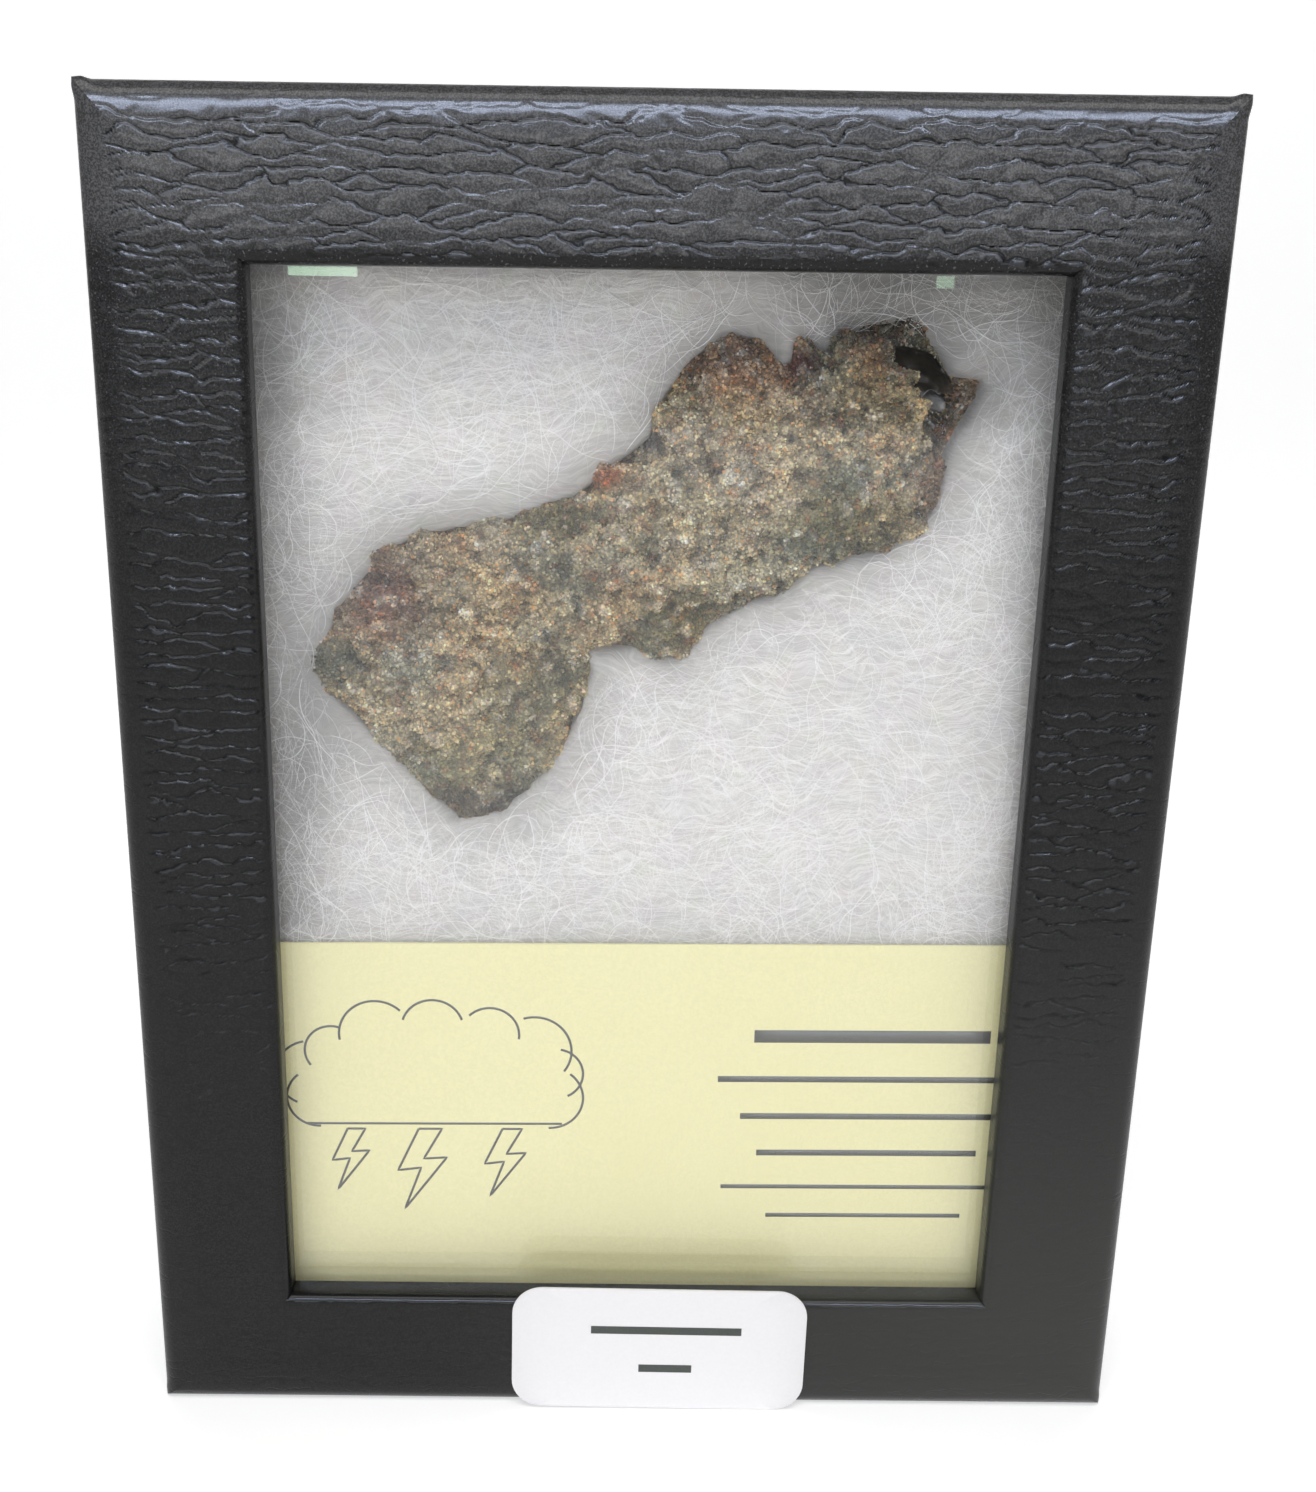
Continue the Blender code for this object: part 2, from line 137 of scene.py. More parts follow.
def black_paper_group():
    """Embossed black paper: fine pebbles and long shallow creases along X.

    The pebbles are fine noise, and the creases are the borders of stretched Voronoi cells, opened only
    where a slow noise is high.  Height is the pebbles less the creases, for a Bump node.  The second output
    is painted light and shade for the colour: 0 is painted shade in the pores and creases, 1 is painted
    light on the raised pebbles.
    """
    group, given, result = make_group(
        "black paper", {"Creases": 0.5}, {"Height": "NodeSocketFloat", "Painted light": "NodeSocketFloat"}
    )
    place = object_place(group)
    pebbles = noise_texture(group, place, 7200.0, 1.0)
    drift = noise_texture(group, place, 450.0, 2.0)
    bent = scaled(group, drift.outputs["Color"], 0.0016)
    moved = add_node(group, "ShaderNodeVectorMath", {0: place, 1: bent}, operation="ADD")
    stretch = add_node(
        group, "ShaderNodeMapping", {"Vector": moved.outputs[0], "Scale": (180.0, 320.0, 820.0)}
    )
    cells = add_node(group, "ShaderNodeTexVoronoi", {"Vector": stretch.outputs[0], "Scale": 1.0})
    cells.feature = "DISTANCE_TO_EDGE"
    groove = soft_range(group, cells.outputs["Distance"], 0.0, 0.09, 1.0, 0.0)
    open_here = soft_range(group, drift.outputs["Fac"], 0.42, 0.58)
    groove = math_node(group, "MULTIPLY", groove, open_here)
    groove = math_node(group, "MULTIPLY", groove, given.outputs["Creases"])
    grain = math_node(group, "MULTIPLY", pebbles.outputs["Fac"], 0.55)
    height = math_node(group, "SUBTRACT", grain, groove)
    # painted light on the raised pebbles, less painted shade in the opened creases
    painted_light = soft_range(group, pebbles.outputs["Fac"], 0.35, 0.7)
    painted_light = math_node(group, "SUBTRACT", painted_light, math_node(group, "MULTIPLY", groove, 0.7), clamp=True)
    group.links.new(height, result.inputs["Height"])
    group.links.new(painted_light, result.inputs["Painted light"])
    return group


paper_group = black_paper_group()


def black_paper(name, creases, dark, light, roughness):
    """Black paper with painted shade in its pores and creases and painted light on its raised pebbles."""
    material, tree, shader = new_material(name, roughness)
    paper = add_node(tree, "ShaderNodeGroup", node_tree=paper_group)
    paper.inputs["Creases"].default_value = creases
    colour = blend_colours(tree, paper.outputs["Painted light"], (*dark, 1.0), (*light, 1.0))
    tree.links.new(colour, shader.inputs["Base Color"])
    add_relief(tree, shader, paper.outputs["Height"], 0.7, 0.07)
    return material, tree, shader


tray_paper = black_paper("tray_paper", 1.0, (0.004, 0.004, 0.0044), (0.012, 0.012, 0.013), 0.42)[0]
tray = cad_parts["base_tray"]
tray.data.materials.clear()
tray.data.materials.append(tray_paper)

# ---- batting ----
# Loose white polyester fibre that fills the tray and presses the specimen and the card to the glass.
# Its front is a soft sheet that dips round the specimen, and thousands of curled fibres lie on it.

BATTING_DEPTH = 5.05
BATTING_BACK = 17.15
CARD_TOP = 42.6
BEHIND_CARD = 5.5
DIP_REACH = 2.6
DIP_DEPTH = 7.8
BED_DEPTH = 14.4
PAD_STEP = 0.4
# the middle of the hole through the specimen's rear wall: x and z
PIERCING = (23.0, 85.8)
TUFT_RADIUS, TUFT_HEIGHT = 1.3, 4.6
THREAD_SCALE = (350.0, 900.0, 5200.0)

# one row for each section across the specimen, from the blade end to the tip of its mouth (mm):
# upper edge x and z, lower edge x and z, depth of the front half, depth of the back half
TUBE_SECTIONS = np.array(
    [
        (-27.4, 64.2, -15.6, 51.3, 1.2, 1.2),
        (-26.3, 66.4, -11.8, 52.1, 2.0, 1.8),
        (-25.3, 69.0, -7.8, 55.8, 2.8, 2.5),
        (-23.7, 71.1, -5.8, 59.4, 3.2, 2.9),
        (-21.8, 73.6, -4.8, 62.4, 3.5, 3.2),
        (-18.3, 75.7, -4.3, 64.6, 3.7, 3.5),
        (-14.0, 76.3, -5.0, 66.3, 3.9, 3.6),
        (-9.5, 77.2, -3.2, 66.5, 3.9, 3.6),
        (-6.3, 78.7, -0.6, 66.6, 4.0, 3.7),
        (-3.2, 81.2, 2.2, 65.8, 4.1, 3.8),
        (-0.3, 83.5, 4.6, 68.2, 4.1, 3.9),
        (0.5, 86.2, 7.6, 70.2, 4.2, 3.9),
        (2.8, 89.4, 11.2, 71.6, 4.2, 3.9),
        (5.2, 91.2, 12.8, 73.2, 4.2, 3.9),
        (8.2, 90.8, 15.2, 73.9, 4.2, 3.9),
        (9.9, 88.4, 17.0, 74.4, 4.1, 3.9),
        (11.6, 90.2, 18.7, 74.8, 4.1, 3.9),
        (13.4, 89.9, 20.6, 75.9, 4.1, 3.9),
        (15.2, 91.3, 22.2, 77.8, 4.0, 3.9),
        (17.9, 91.7, 22.9, 80.2, 3.9, 3.8),
        (21.1, 91.1, 23.4, 82.4, 3.4, 3.6),
        (22.2, 90.1, 24.2, 83.9, 2.6, 3.2),
        (23.3, 88.6, 25.0, 85.2, 1.8, 2.4),
        (25.9, 88.2, 25.8, 86.8, 1.0, 1.3),
    ]
)


def smooth_step(value):
    """An S-curve from 0 to 1."""
    value = np.clip(value, 0.0, 1.0)
    return value * value * (3.0 - 2.0 * value)


def soft_noise(points, seed):
    """Smooth random values from -1 to 1: random numbers on a unit lattice, blended with an S-curve."""
    table = np.random.default_rng(seed).uniform(-1.0, 1.0, (32, 32, 32))
    corner = np.floor(points).astype(int)
    share = smooth_step(points - corner)
    total = np.zeros(points.shape[:-1])
    for step in itertools.product((0, 1), repeat=3):
        weight = np.prod(np.where(step, share, 1.0 - share), axis=-1)
        i = (corner + step) % 32
        total += weight * table[i[..., 0], i[..., 1], i[..., 2]]
    return total


def grid_quads(rows, columns, closed=False):
    """The quads of a grid of points; closed joins its last column to its first."""
    last = columns if closed else columns - 1
    i, j = np.meshgrid(np.arange(rows - 1), np.arange(last), indexing="ij")
    k = (j + 1) % columns
    here, after = i * columns, (i + 1) * columns
    return np.stack([here + j, here + k, after + k, after + j], axis=-1).reshape(-1, 4)


def new_mesh(name, points, faces):
    """A mesh from points in millimetres (x, depth behind the box's face, z) and a list of face arrays."""
    points = points.reshape(-1, 3) * MM
    points[:, 1] -= BACK_DEPTH * MM / 2
    corners = np.concatenate([block.ravel() for block in faces])
    sizes = np.concatenate([np.full(len(block), block.shape[1]) for block in faces])
    mesh = bpy.data.meshes.new(name)
    mesh.vertices.add(len(points))
    mesh.vertices.foreach_set("co", points.astype(np.float32).ravel())
    mesh.loops.add(len(corners))
    mesh.loops.foreach_set("vertex_index", corners.astype(np.int32))
    mesh.polygons.add(len(sizes))
    mesh.polygons.foreach_set("loop_start", (np.cumsum(sizes) - sizes).astype(np.int32))
    mesh.update(calc_edges=True)
    return mesh


def new_piece(name, points, faces, material, body="root"):
    """A smooth-shaded mesh object that rides on a body, from points in millimetres and face arrays."""
    mesh = new_mesh(name, points, faces)
    mesh.materials.append(material)
    piece = bpy.data.objects.new(name, mesh)
    bpy.context.scene.collection.objects.link(piece)
    mesh.shade_smooth()
    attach(piece, body)
    return piece


def weld(mesh):
    """Merges points that lie together, which closes seams and poles, and turns all faces outwards."""
    builder = bmesh.new()
    builder.from_mesh(mesh)
    bmesh.ops.remove_doubles(builder, verts=builder.verts, dist=1e-6)
    bmesh.ops.recalc_face_normals(builder, faces=builder.faces)
    builder.to_mesh(mesh)
    builder.free()


def add_values(piece, name, values):
    """Stores one number, or one colour, for each point of a piece."""
    kind = "FLOAT" if values.ndim == 1 else "FLOAT_COLOR"
    field = "value" if values.ndim == 1 else "color"
    attribute = piece.data.attributes.new(name, kind, "POINT")
    attribute.data.foreach_set(field, values.astype(np.float32).ravel())


def slab(front, back):
    """Points and quads of a closed sheet between two like grids, the front one facing the glass."""
    rows, columns = front.shape[:2]
    count = rows * columns
    quads = grid_quads(rows, columns)
    number = np.arange(count).reshape(rows, columns)
    rim = np.concatenate([number[0, :-1], number[:-1, -1], number[-1, :0:-1], number[:0:-1, 0]])
    after = np.roll(rim, -1)
    sides = np.stack([after, rim, rim + count, after + count], axis=-1)
    points = np.concatenate([front.reshape(-1, 3), back.reshape(-1, 3)])
    return points, [quads, quads[:, ::-1] + count, sides]


def outline_distance(x, z):
    """Distance of each point to the specimen's outline, in mm: positive outside it, negative inside."""
    corners = np.concatenate([TUBE_SECTIONS[:, 0:2], TUBE_SECTIONS[::-1, 2:4]])
    nearest = np.full(x.shape, 1e9)
    inside = np.zeros(x.shape, dtype=bool)
    for (ax, az), (bx, bz) in zip(corners, np.roll(corners, -1, axis=0)):
        dx, dz = bx - ax, bz - az
        along = np.clip(((x - ax) * dx + (z - az) * dz) / (dx * dx + dz * dz), 0.0, 1.0)
        nearest = np.minimum(nearest, np.hypot(x - ax - along * dx, z - az - along * dz))
        if dz != 0.0:
            inside ^= ((az > z) != (bz > z)) & (x < ax + (z - az) * dx / dz)
    return np.where(inside, -nearest, nearest)


def batting_front(x, z):
    """Depth of the batting's front at each point.

    It lies on the glass with soft lumps, sinks along a bell curve towards the specimen's outline, drops
    behind the specimen with an S-curve, and steps back behind the card.  Bell curves sink it at its left
    and right edges and above the specimen's right end, and a tuft of it stands up into the hole.
    """
    spot = np.stack([x, z, np.full(x.shape, 0.5)], axis=-1)
    lumps = 0.16 * soft_noise(spot / 9.0, 11) + 0.09 * soft_noise(spot / 3.1, 12)
    away = outline_distance(x, z)
    front = BATTING_DEPTH + 0.2 + lumps
    front = front + (DIP_DEPTH - BATTING_DEPTH) * np.exp(-((np.maximum(away, 0.0) / DIP_REACH) ** 1.3))
    front = front + (BED_DEPTH - DIP_DEPTH) * smooth_step(-away / 1.2)
    front = front + 1.8 * np.exp(-(((x + 31.0) / 4.0) ** 2))
    front = front + 1.6 * np.exp(-(((x - 31.5) / 4.5) ** 2)) * smooth_step((z - 66.0) / 16.0)
    front = front + 3.6 * np.exp(-(((x - 19.0) / 10.0) ** 2) - ((z - 96.0) / 5.5) ** 2)
    into_hole = np.hypot(x - PIERCING[0], z - PIERCING[1]) / TUFT_RADIUS
    front = front - TUFT_HEIGHT * (1.0 - smooth_step(into_hole))
    tucked = smooth_step((CARD_TOP + 0.9 - z) / 1.1)
    return front + (BEHIND_CARD - front) * tucked


def batting_painted_shade(x, z):
    """Painted shade on the fill, from 0 to 1, as a sum of bell curves.

    It is strongest where the fill is sunk: near the window's left and right, above the specimen's right
    end, round the specimen and along the card.
    """
    left = 0.33 * np.exp(-(((x + 30.5) / 6.0) ** 2)) * (0.25 + 0.75 * smooth_step((x + 34.0) / 3.0))
    left = left + 0.34 * np.exp(-(((x + 27.0) / 4.0) ** 2) - ((z - 57.0) / 6.0) ** 2)
    right = 0.34 * np.exp(-(((x - 33.0) / 6.5) ** 2)) * (0.45 + 0.55 * smooth_step((z - 58.0) / 22.0))
    corner = 0.56 * np.exp(-(((x - 18.0) / 13.0) ** 2) - ((z - 95.5) / 6.5) ** 2)
    foot = 0.16 * np.exp(-(((z - 42.5) / 4.5) ** 2))
    beside = 0.30 * np.exp(-((np.maximum(outline_distance(x, z), 0.0) / 3.0) ** 1.4))
    return np.clip(0.05 + left + right + corner + foot + beside, 0.0, 1.0)


def stored_value(tree, name, output="Fac"):
    """An output with values that are stored on the piece."""
    return add_node(tree, "ShaderNodeAttribute", attribute_name=name).outputs[output]


def fibre_material(name, shade, light, roughness):
    """White fibre with faint coloured tints and a fine tangle of light strands, greyed by painted shade
    where it is sunk.

    The strands are the highest of three noises, each stretched into threads that lie at another angle.
    """
    material, tree, shader = new_material(name, roughness)
    place = object_place(tree)
    drift = noise_texture(tree, place, 160.0, 2.0)
    bent = scaled(tree, drift.outputs["Color"], 0.006)
    moved = add_node(tree, "ShaderNodeVectorMath", {0: place, 1: bent}, operation="ADD")
    strands = None
    for turn in (0.3, 1.4, 2.5):
        turned = {"Vector": moved.outputs[0], "Rotation": (0.0, turn, 0.0), "Scale": THREAD_SCALE}
        laid = add_node(tree, "ShaderNodeMapping", turned)
        noise = noise_texture(tree, laid.outputs[0], 1.0, 2.0)
        strand = soft_range(tree, noise.outputs["Fac"], 0.45, 0.72)
        strands = strand if strands is None else math_node(tree, "MAXIMUM", strands, strand)
    colour = blend_colours(tree, strands, (*shade, 1.0), (*light, 1.0))
    tint = noise_texture(tree, place, 420.0, 1.0)
    colour = blend_colours(tree, 0.10, colour, tint.outputs["Color"], "OVERLAY")
    # painted shade: the fill is greyed by the stored painted shade
    shade_share = stored_value(tree, "painted_shade")
    colour = blend_colours(tree, shade_share, colour, (0.20, 0.195, 0.19, 1.0))
    tree.links.new(colour, shader.inputs["Base Color"])
    add_relief(tree, shader, strands, 0.45, 0.05)
    return material


def add_batting():
    """The stuffed sheet as a closed slab: a fine grid for its front and a flat back."""
    low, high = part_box("fibre_batting")
    across = np.linspace(low[0] / MM, high[0] / MM, round((high[0] - low[0]) / MM / PAD_STEP))
    up = np.linspace(low[2] / MM, high[2] / MM, round((high[2] - low[2]) / MM / PAD_STEP))
    x, z = np.meshgrid(across, up)
    front = np.stack([x, batting_front(x, z), z], axis=-1)
    back = np.stack([x, np.full(x.shape, BATTING_BACK), z], axis=-1)
    points, faces = slab(front, back)
    material = fibre_material("batting_fill", (0.665, 0.64, 0.625), (0.85, 0.825, 0.81), 0.9)
    pad = new_piece("batting_pad", points, faces, material)
    # painted shade round the frame, the specimen and the card
    add_values(pad, "painted_shade", batting_painted_shade(points[:, 0], points[:, 2]))
    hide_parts("fibre_batting")


FIBRES_A_PIECE = 2300
FIBRE_SECTIONS = 14
FIBRE_RADIUS = 0.0155
FIBRE_FIELD = (-33.0, 33.0, 39.5, 99.0)
FIBRE_LIMITS = (-37.5, 37.5, 38.0, 104.0)
FIBRE_FRONT, FIBRE_BEHIND_CARD = 4.6, 5.3


def fibre_tubes(paths, radius):
    """Three-sided tubes along paths (fibre, section, xyz), pinched at both ends and capped there."""
    count, sections = paths.shape[:2]
    along = np.gradient(paths, axis=1)
    along /= np.linalg.norm(along, axis=-1, keepdims=True)
    side = np.cross(along, (0.0, -1.0, 0.0))
    side /= np.linalg.norm(side, axis=-1, keepdims=True)
    over = np.cross(side, along)
    taper = np.sin(np.linspace(0.12, math.pi - 0.12, sections)) ** 0.35
    thick = radius[:, None, None] * taper[None, :, None]
    angles = (-math.pi / 2, math.pi / 6, math.pi * 5 / 6)
    rings = [paths + thick * (math.cos(a) * side + math.sin(a) * over) for a in angles]
    points = np.stack(rings, axis=2)
    base = (np.arange(count) * sections * 3)[:, None, None]
    quads = (grid_quads(sections, 3, closed=True)[None] + base).reshape(-1, 4)
    caps = np.stack([[2, 1, 0], np.array([0, 1, 2]) + (sections - 1) * 3])
    return points, [quads[:, ::-1], (caps[None] + base).reshape(-1, 3)[:, ::-1]]


def add_fibres(number, material):
    """Curled fibres on the batting: each turns at its own rate as it goes, and rises and dips a little.

    A path is the running sum of short steps along its heading, held inside the tray and laid on the
    batting's front.  One that would touch the specimen, or has a step of no length, is left out.
    """
    rng = np.random.default_rng(40 + number)
    count, sections = FIBRES_A_PIECE, FIBRE_SECTIONS
    left, right, foot, head = FIBRE_FIELD
    x = rng.uniform(left, right, count)
    z = rng.uniform(foot, head, count)
    length = rng.uniform(3.0, 13.0, count)
    spot = np.stack([x, z, np.zeros(count)], axis=-1)
    heading = 3.1 * soft_noise(spot / 14.0, 21) + rng.normal(0.0, 0.9, count)
    curl = rng.normal(0.0, 0.22, count)
    wave = rng.uniform(-0.9, 0.9, (count, 1))
    s = np.linspace(0.0, 1.0, sections)[None, :] * length[:, None]
    turned = heading[:, None] + curl[:, None] * s + wave * np.sin(s * rng.uniform(0.5, 1.3, (count, 1)))
    step = (length / (sections - 1))[:, None]
    px = x[:, None] + np.cumsum(np.cos(turned) * step, axis=1)
    pz = z[:, None] + np.cumsum(np.sin(turned) * step, axis=1)
    px = np.clip(px, FIBRE_LIMITS[0], FIBRE_LIMITS[1])
    pz = np.clip(pz, FIBRE_LIMITS[2], FIBRE_LIMITS[3])
    lift = rng.uniform(0.0, 0.22, (count, 1)) + 0.06 * np.sin(s * rng.uniform(0.6, 2.0, (count, 1)))
    deep = batting_front(px, pz) - lift
    sunk = np.minimum(deep, DIP_DEPTH + 1.4)
    depth = np.where(pz < CARD_TOP + 0.6, FIBRE_BEHIND_CARD, sunk)
    paths = np.stack([px, np.maximum(depth, FIBRE_FRONT), pz], axis=-1)
    away = outline_distance(px, pz).min(axis=1)
    shortest = np.hypot(np.diff(px, axis=1), np.diff(pz, axis=1)).min(axis=1)
    paths = paths[(away > 0.05) & (shortest > 0.01)]
    radius = FIBRE_RADIUS * (0.7 + 2.0 * rng.random(len(paths)) ** 4)
    points, faces = fibre_tubes(paths, radius)
    piece = new_piece(f"batting_fibres_{number}", points, faces, material)
    piece.data.shade_flat()
    # the fibres take a fifth of the fill's painted shade
    add_values(piece, "painted_shade", 0.2 * batting_painted_shade(points[..., 0], points[..., 2]).ravel())
    piece.visible_shadow = False


add_batting()
loose_fibre = fibre_material("loose_fibre", (0.88, 0.865, 0.865), (0.95, 0.94, 0.94), 0.5)
for batch in (1, 2, 3):
    add_fibres(batch, loose_fibre)

# ---- fulgurite ----
# A tube of lightning glass crushed flat, one piece: grey-brown glass crusted outside with fused sand
# grains, with a dark glassy bore that opens at its broken right end.  It lies bedded in the batting.

TUBE_MIDDLE_DEPTH = 9.6
SECTION_POWER = 0.95
BLADE_ROUNDING = 0.8
END_LEAN = 1.2
EVENING = 0.2
FRONT_RIM, BACK_RIM = 18.9, 23.0
BORE_END = 13.5
TUBE_WALL = 1.1
FOLD_DEPTH = 1.3
KNOB_SIZES = ((2.5, 1.35), (1.35, 0.75), (0.72, 0.32))
KNOB_LEVEL = 0.6
KNOB_TABLE = 16
CRUST_ROWS, BORE_ROWS, CRUST_COLUMNS = 310, 56, 228
PIERCING_RADIUS = 1.35
PLUG_SIDES, PLUG_LENGTH = 22, 8.0

# colours of the crust: middle x and z, reach in x and z (mm), colour, how far it takes over
STAINS = (
    (-21.5, 70.3, 4.6, 3.8, (0.200, 0.112, 0.084), 0.95),
    (-14.5, 74.8, 5.0, 1.7, (0.500, 0.390, 0.270), 0.6),
    (2.6, 83.4, 2.8, 2.2, (0.560, 0.460, 0.330), 0.7),
    (9.5, 86.4, 5.2, 2.0, (0.580, 0.470, 0.350), 0.7),
    (-14.8, 66.6, 4.8, 2.0, (0.560, 0.475, 0.340), 0.7),
    (-1.1, 71.8, 3.4, 1.5, (0.240, 0.205, 0.150), 0.55),
    (5.6, 89.2, 5.0, 2.4, (0.270, 0.155, 0.100), 0.85),
    (11.0, 89.0, 1.7, 1.7, (0.085, 0.026, 0.024), 0.95),
    (-4.0, 80.7, 2.3, 0.9, (0.330, 0.120, 0.050), 0.9),
    (-8.7, 61.5, 6.0, 4.4, (0.220, 0.205, 0.110), 0.6),
    (-14.5, 57.5, 6.0, 4.2, (0.250, 0.240, 0.120), 0.5),
    (-7.0, 77.2, 3.8, 1.4, (0.095, 0.092, 0.042), 0.9),
    (2.6, 68.8, 3.6, 2.8, (0.125, 0.120, 0.050), 0.9),
    (2.4, 70.3, 1.1, 0.7, (0.300, 0.200, 0.060), 0.6),
    (15.0, 77.4, 5.2, 2.7, (0.132, 0.130, 0.058), 0.9),
    (-25.6, 64.6, 3.0, 2.6, (0.110, 0.112, 0.075), 0.8),
    (-14.0, 53.2, 4.6, 1.8, (0.110, 0.085, 0.060), 0.8),
    (-0.2, 83.3, 1.2, 0.9, (0.045, 0.040, 0.036), 0.95),
    (17.8, 91.6, 3.6, 1.3, (0.085, 0.062, 0.045), 0.9),
    (16.8, 89.1, 1.3, 1.5, (0.330, 0.170, 0.070), 0.7),
    (22.4, 80.4, 2.1, 3.2, (0.190, 0.128, 0.088), 0.9),
    (23.4, 84.0, 1.3, 0.8, (0.420, 0.190, 0.070), 0.9),
    (25.0, 87.2, 2.4, 2.0, (0.300, 0.220, 0.160), 0.9),
    (8.0, 80.5, 3.5, 2.2, (0.560, 0.480, 0.380), 0.5),
    (-17.0, 61.5, 3.6, 2.0, (0.520, 0.460, 0.340), 0.6),
    (-13.0, 71.5, 4.0, 1.6, (0.540, 0.450, 0.310), 0.5),
    (14.0, 84.6, 0.45, 0.45, (0.030, 0.030, 0.032), 0.9),
    (10.4, 83.6, 0.4, 0.4, (0.035, 0.035, 0.040), 0.9),
    (-16.4, 65.0, 0.9, 0.9, (0.080, 0.095, 0.085), 0.8),
    (-18.1, 59.3, 1.2, 0.8, (0.070, 0.085, 0.070), 0.8),
)
# the part of the bore that stays dark and glassy: middle x and z, reach (mm)
CAVITY = (20.8, 88.6, 2.5)
SAND = (0.545, 0.455, 0.300)
ASH = (0.205, 0.188, 0.125)
RUST_SPOT = (0.27, 0.11, 0.06)
DARK_SPOT = (0.05, 0.048, 0.045)
PALE_SPOT = (0.75, 0.69, 0.60)


def through_rows(rows, t):
    """A Catmull-Rom curve through the rows, read at t, which counts rows from 0."""
    i = np.clip(np.floor(t).astype(int), 0, len(rows) - 2)
    f = (t - i)[..., None]
    a, b = rows[np.maximum(i - 1, 0)], rows[i]
    c, d = rows[i + 1], rows[np.minimum(i + 2, len(rows) - 1)]
    return b + 0.5 * f * (c - a + f * (2 * a - 5 * b + 4 * c - d + f * (3 * (b - c) + d - a)))


def tube_point(t, angle, wall=0.0, closing=1.0):
    """The tube's skin at section t and angle: 0 at the upper edge, a quarter turn at the front.

    Across the section the point follows cos(angle), in depth |sin(angle)| to a power just under one, so
    the edges are a little blunter than an ellipse's.  wall draws it in by a wall's thickness and closing
    shrinks the section.  A shallow fold steps the front back below a line on the lower left.
    """
    row = through_rows(TUBE_SECTIONS, t)
    upper, lower = row[..., 0:2], row[..., 2:4]
    middle, half = (upper + lower) / 2, (upper - lower) / 2
    width = np.linalg.norm(half, axis=-1)
    inset = np.minimum(wall, 0.42 * width)
    in_plane = middle + half * ((1 - inset / width) * closing * np.cos(angle))[..., None]
    front = np.sin(angle) > 0
    blade = np.sqrt(1 - (1 - np.clip(t / BLADE_ROUNDING, 0, 1)) ** 2)
    reach = np.where(front, row[..., 4], row[..., 5])
    reach = (reach - np.minimum(wall, 0.6 * reach)) * blade * closing
    out = np.abs(np.sin(angle)) ** SECTION_POWER * reach
    x, z = in_plane[..., 0], in_plane[..., 1]
    fold_line = 68.3 - 2.1 * smooth_step((x + 12.0) / 8.0)
    fold = FOLD_DEPTH * smooth_step((fold_line - z) / 1.0) * smooth_step((x + 18.0) / 7.0)
    fold *= 1 - 0.6 * smooth_step((fold_line - z) / 13.0)
    beyond_fork = smooth_step((-3.2 - x) / 1.2)
    out = np.where(front, out - np.minimum(fold * beyond_fork, 0.5 * out), out)
    y = TUBE_MIDDLE_DEPTH + np.where(front, -out, out)
    return np.stack([x, y, z], axis=-1)


def knobs(points, size, table):
    """Rounded knobs, one in each cell of a jittered lattice: 1 minus the squared distance to the nearest."""
    cell = points / size
    corner = np.floor(cell)
    nearest = np.full(points.shape[:-1], 9.0)
    for step in itertools.product((-1, 0, 1), repeat=3):
        place = corner + step
        i = np.mod(place, KNOB_TABLE).astype(int)
        centre = place + table[i[..., 0], i[..., 1], i[..., 2]]
        nearest = np.minimum(nearest, ((cell - centre) ** 2).sum(axis=-1))
    return np.clip(1.0 - nearest, 0.0, 1.0)


def outward(t, angle):
    """The way that lumps stand out: round the section with its angle, along the tube at its blade end."""
    row = through_rows(TUBE_SECTIONS, t)
    half = row[..., 0:2] - row[..., 2:4]
    half = half / np.linalg.norm(half, axis=-1, keepdims=True)
    end = 1.0 - smooth_step(t / 1.2)
    x = half[..., 0] * np.cos(angle) - END_LEAN * end * half[..., 1]
    z = half[..., 1] * np.cos(angle) + END_LEAN * end * half[..., 0]
    way = np.stack([x, (end - 1.0) * np.sin(angle), z], axis=-1)
    return way / np.linalg.norm(way, axis=-1, keepdims=True)


